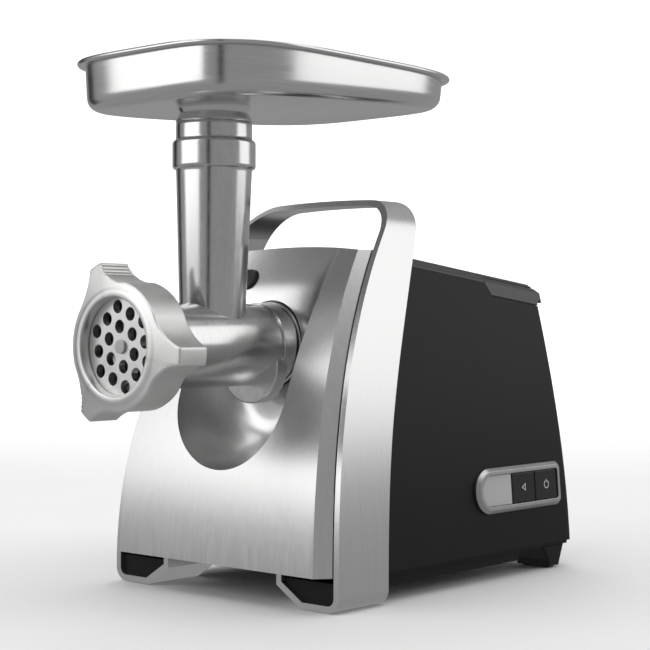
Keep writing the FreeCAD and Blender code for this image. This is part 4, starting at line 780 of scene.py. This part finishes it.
def cast(name, dark, light, rough, grain, depth, edge=None):
    """Cast and tumbled alloy: a fine soft grain with broader clouding."""
    look = Look(name, metallic=1.0)
    if edge:
        look.soft_edges(edge)
    fine = look.noise((grain, grain, grain), 3.0)
    cloud = look.noise((60, 60, 60), 2.0)
    both = look.blend(fine, cloud, 0.5)
    look.colour(both, grey(dark, 0.008), grey(light, 0.008), 0.35, 0.65)
    look.roughness(cloud, rough[0], rough[1])
    look.bump(fine, depth)
    return look.material


def plastic(name, dark, light, rough, grain, depth, edge=None, tint=(1.0, 1.0, 1.0), specular=0.5):
    """Moulded or painted surface, or a dull metal: a fine texture with faint clouding."""
    look = Look(name, metallic=0.0, Specular_IOR_Level=specular)
    if edge:
        look.soft_edges(edge)
    fine = look.noise((grain, grain, grain), 4.0, 0.6)
    cloud = look.noise((25, 25, 25), 2.0)
    both = look.blend(fine, cloud, 0.35)
    look.colour(both, tuple(dark * c for c in tint), tuple(light * c for c in tint), 0.3, 0.7)
    look.roughness(fine, rough[0], rough[1])
    look.bump(fine, depth)
    return look.material


BAND = brushed("band_steel", (9, 2200, 9), (3, 700, 3), 0.645, 0.675, (0.27, 0.30), 0.000001)
PLATE = brushed("plate_steel", (2000, 2000, 14), (420, 420, 5), 0.66, 0.73, (0.28, 0.34), 0.000003)
TRAY = brushed("tray_steel", (30, 30, 900), (9, 9, 160), 0.62, 0.68, (0.20, 0.26), 0.000001)
POLISHED = brushed("polished_alloy", (500, 500, 120), (60, 60, 20), 0.60, 0.66, (0.18, 0.24), 0.000001)
RING = cast("ring_alloy", 0.74, 0.82, (0.42, 0.48), 1500, 0.000003)
# The disc is steel, set lighter than the other steels. The extra lightness is painted light that makes up
# for the shade in its recess.
DISC = brushed("disc_steel", (1500,) * 3, (120,) * 3, 0.72, 0.84, (0.30, 0.40), 0.000004, 0.0004)
WORM = cast("worm_alloy", 0.42, 0.56, (0.34, 0.48), 1200, 0.00001, 0.0004)
KNIFE = cast("knife_steel", 0.045, 0.075, (0.42, 0.55), 1200, 0.00001, 0.0004)
CHARCOAL = plastic("charcoal_plastic", 0.0045, 0.0065, (0.44, 0.52), 1800, 0.000004, 0.0008, specular=0.22)
# The top cover and lid use a glossier copy of the charcoal plastic. Its lighter colour is painted light,
# because these tops face the overhead light.
TOP_LIT_COVER = plastic("cover_plastic_painted_lighter", 0.006, 0.009, (0.30, 0.38), 1800, 0.000003, 0.0009, specular=0.6)
BLACK = plastic("black_plastic", 0.006, 0.009, (0.5, 0.62), 1500, 0.00001, 0.0005, specular=0.2)
MARK = plastic("mark_ink", 0.55, 0.65, (0.4, 0.5), 2000, 0.000002, specular=0.4)
KEY = plastic("key_plastic", 0.006, 0.010, (0.10, 0.16), 900, 0.000003, 0.0005)
SILVER = cast("silver_paint", 0.42, 0.50, (0.30, 0.36), 2600, 0.000002, 0.0006)
INLAY = plastic("inlay_paint", 0.40, 0.48, (0.30, 0.38), 2600, 0.00001, 0.0004, specular=0.7)
BUTTON = plastic("button_paint", 0.015, 0.022, (0.28, 0.36), 2200, 0.000004, 0.0006, specular=0.5)
RUBBER = plastic("rubber", 0.012, 0.020, (0.7, 0.85), 700, 0.00006, 0.0004, specular=0.3)
NYLON = plastic("nylon", 0.62, 0.72, (0.4, 0.5), 600, 0.00002, 0.0003, (1.0, 0.98, 0.92))
SHAFT = brushed("shaft_steel", (60, 2000, 60), (20, 300, 20), 0.40, 0.52, (0.24, 0.36), 0.000004, 0.0003)
IRON = plastic("core_iron", 0.10, 0.15, (0.45, 0.6), 900, 0.00003, 0.0003, (1.0, 1.0, 1.04))
COPPER = plastic("copper_wire", 0.32, 0.46, (0.3, 0.45), 1400, 0.00008, 0.0003, (1.0, 0.48, 0.24), 0.8)
BRASS = plastic("brass", 0.45, 0.58, (0.28, 0.4), 1000, 0.00001, 0.0003, (1.0, 0.80, 0.42), 0.8)
BOARD = plastic("board_mask", 0.05, 0.09, (0.3, 0.4), 500, 0.00001, 0.0002, (0.35, 1.0, 0.5))

# The tops take the lighter copy: painted light from above.
paint(TOP_LIT_COVER, "top_cover", "storage_lid")
paint(CHARCOAL, "main_housing", "left_rear_foot", "right_rear_foot", "base_plate")
paint(BLACK, "plate_surround", "left_foot_block", "right_foot_block", "hinge_knuckles", "storage_bin")
paint(KEY, "power_button", "reverse_button")
paint(SILVER, "panel_bezel", "bayonet_socket")
paint(INLAY, "panel_inlay")
paint(BUTTON, "release_button")
paint(RUBBER, "front_foot_pads", "rear_foot_pads", "motor_cradle", "cord_gland", "output_seal",
      "carbon_brushes")
paint(NYLON, "first_gear", "second_gear", "worm_coupler", "cooling_fan", "key_switches")
paint(SHAFT, "armature_shaft", "second_pinion_shaft", "third_pinion_shaft", "drive_socket", "coupler_screw",
      "gearbox_screws", "socket_screws", "tie_bolts", "lid_hinge_pin", "output_bearing", "motor_bearings",
      "brush_springs", "motor_bracket", "output_gear")
paint(IRON, "motor_stator", "armature_core")
paint(COPPER, "field_coils", "commutator")
paint(BRASS, "shaft_bushes", "brush_holders")
paint(BOARD, "control_board")
paint(WORM, "worm", "gearbox_housing", "gearbox_cover")
paint(KNIFE, "cross_knife")
paint(DISC, "perforated_disc")
paint(BAND, "frame_band")
# Finer meshes stand for these four nodes.
paint(RING, "locking_ring")
paint(POLISHED, "grinder_head")
paint(TRAY, "tray")
paint(PLATE, "front_plate")

make_ring()
make_head()
make_tray()
make_plate()
power_mark()
reverse_mark()


# ---------------------------------------------------------------- studio
def backdrop():
    """A pale floor that curves up into a wall far behind."""
    half, bend, wall, back = 6.0, 1.6, 4.0, 3.0
    profile = [(-half, 0.0), (back, 0.0)]
    for index in range(1, 17):
        angle = math.pi / 2 * index / 16
        profile.append((back + bend * math.sin(angle), bend * (1 - math.cos(angle))))
    profile.append((back + bend, wall))
    azimuth = math.radians(CAMERA_AZIMUTH)
    forward = Vector((-math.sin(azimuth), math.cos(azimuth), 0))
    side = Vector((math.cos(azimuth), math.sin(azimuth), 0))
    points = []
    for along, height in profile:
        for across in (-half, half):
            spot = forward * along + side * across
            points.append((spot.x, spot.y, height))
    mesh = bpy.data.meshes.new("backdrop")
    mesh.from_pydata(points, [], grid_faces(len(profile), 2, False, False))
    mesh.polygons.foreach_set("use_smooth", [True] * len(mesh.polygons))
    obj = bpy.data.objects.new("backdrop", mesh)
    bpy.context.scene.collection.objects.link(obj)
    look = Look("backdrop", rough=0.9, Specular_IOR_Level=0.1)
    look.colour(look.noise((3, 3, 3), 2.0), grey(0.86), grey(0.88))
    mesh.materials.append(look.material)
    obj.visible_glossy = False


def aimed(name, data, spot, target):
    """Place a light or a card so that it faces a target."""
    obj = bpy.data.objects.new(name, data)
    obj.location = spot
    obj.rotation_euler = (Vector(target) - Vector(spot)).to_track_quat("-Z", "Y").to_euler()
    bpy.context.scene.collection.objects.link(obj)
    return obj


def softbox(name, spot, target, width, height, power):
    data = bpy.data.lights.new(name, "AREA")
    data.shape = "RECTANGLE"
    data.size = width
    data.size_y = height
    data.energy = power
    aimed(name, data, spot, target)


def flag(name, spot, target, width, height, shade):
    """A dark card that only reflections show, for the dark bands in the polished metal."""
    half_x, half_y = width / 2, height / 2
    corners = [(-half_x, -half_y, 0), (half_x, -half_y, 0), (half_x, half_y, 0), (-half_x, half_y, 0)]
    mesh = bpy.data.meshes.new(name)
    mesh.from_pydata(corners, [], [(0, 1, 2, 3)])
    look = Look(name, rough=1.0, Specular_IOR_Level=0.0)
    look.colour(look.noise((5, 5, 5)), grey(shade), grey(shade * 1.1))
    mesh.materials.append(look.material)
    obj = aimed(name, mesh, spot, target)
    obj.visible_camera = False
    obj.visible_shadow = False
    obj.visible_diffuse = False


def studio():
    """White surroundings, a broad top light, a light on the wall, key and rim lights and two dark cards."""
    world = bpy.data.worlds.new("studio")
    world.use_nodes = True
    background = world.node_tree.nodes["Background"]
    background.inputs["Color"].default_value = (1.0, 1.0, 1.0, 1.0)
    background.inputs["Strength"].default_value = 0.34
    bpy.context.scene.world = world
    bpy.context.scene.view_settings.view_transform = "Standard"
    aim = (0.0, 0.0, 0.17)
    softbox("top", (0.0, 0.2, 2.7), aim, 3.8, 3.8, 58.0)
    softbox("wall", (-1.6, 1.8, 2.6), (-3.2, 3.6, 0.9), 3.6, 2.0, 95.0)
    softbox("key", (-0.96, -1.98, 0.95), aim, 2.3, 1.5, 17.0)
    softbox("rim", (1.50, 1.66, 1.0), aim, 1.7, 1.5, 9.5)
    flag("flag_camera", (0.88, -1.60, 0.3), aim, 0.28, 1.8, 0.01)
    flag("flag_left", (-1.9, -0.15, 0.5), aim, 0.7, 2.0, 0.03)
    backdrop()


def camera():
    data = bpy.data.cameras.new("camera")
    data.lens = CAMERA_LENS
    data.sensor_width = 36.0
    obj = bpy.data.objects.new("camera", data)
    obj.location = CAMERA_SPOT
    obj.rotation_euler = (math.radians(90.0 + CAMERA_PITCH), 0.0, math.radians(CAMERA_AZIMUTH))
    bpy.context.scene.collection.objects.link(obj)
    bpy.context.scene.camera = obj


studio()
camera()
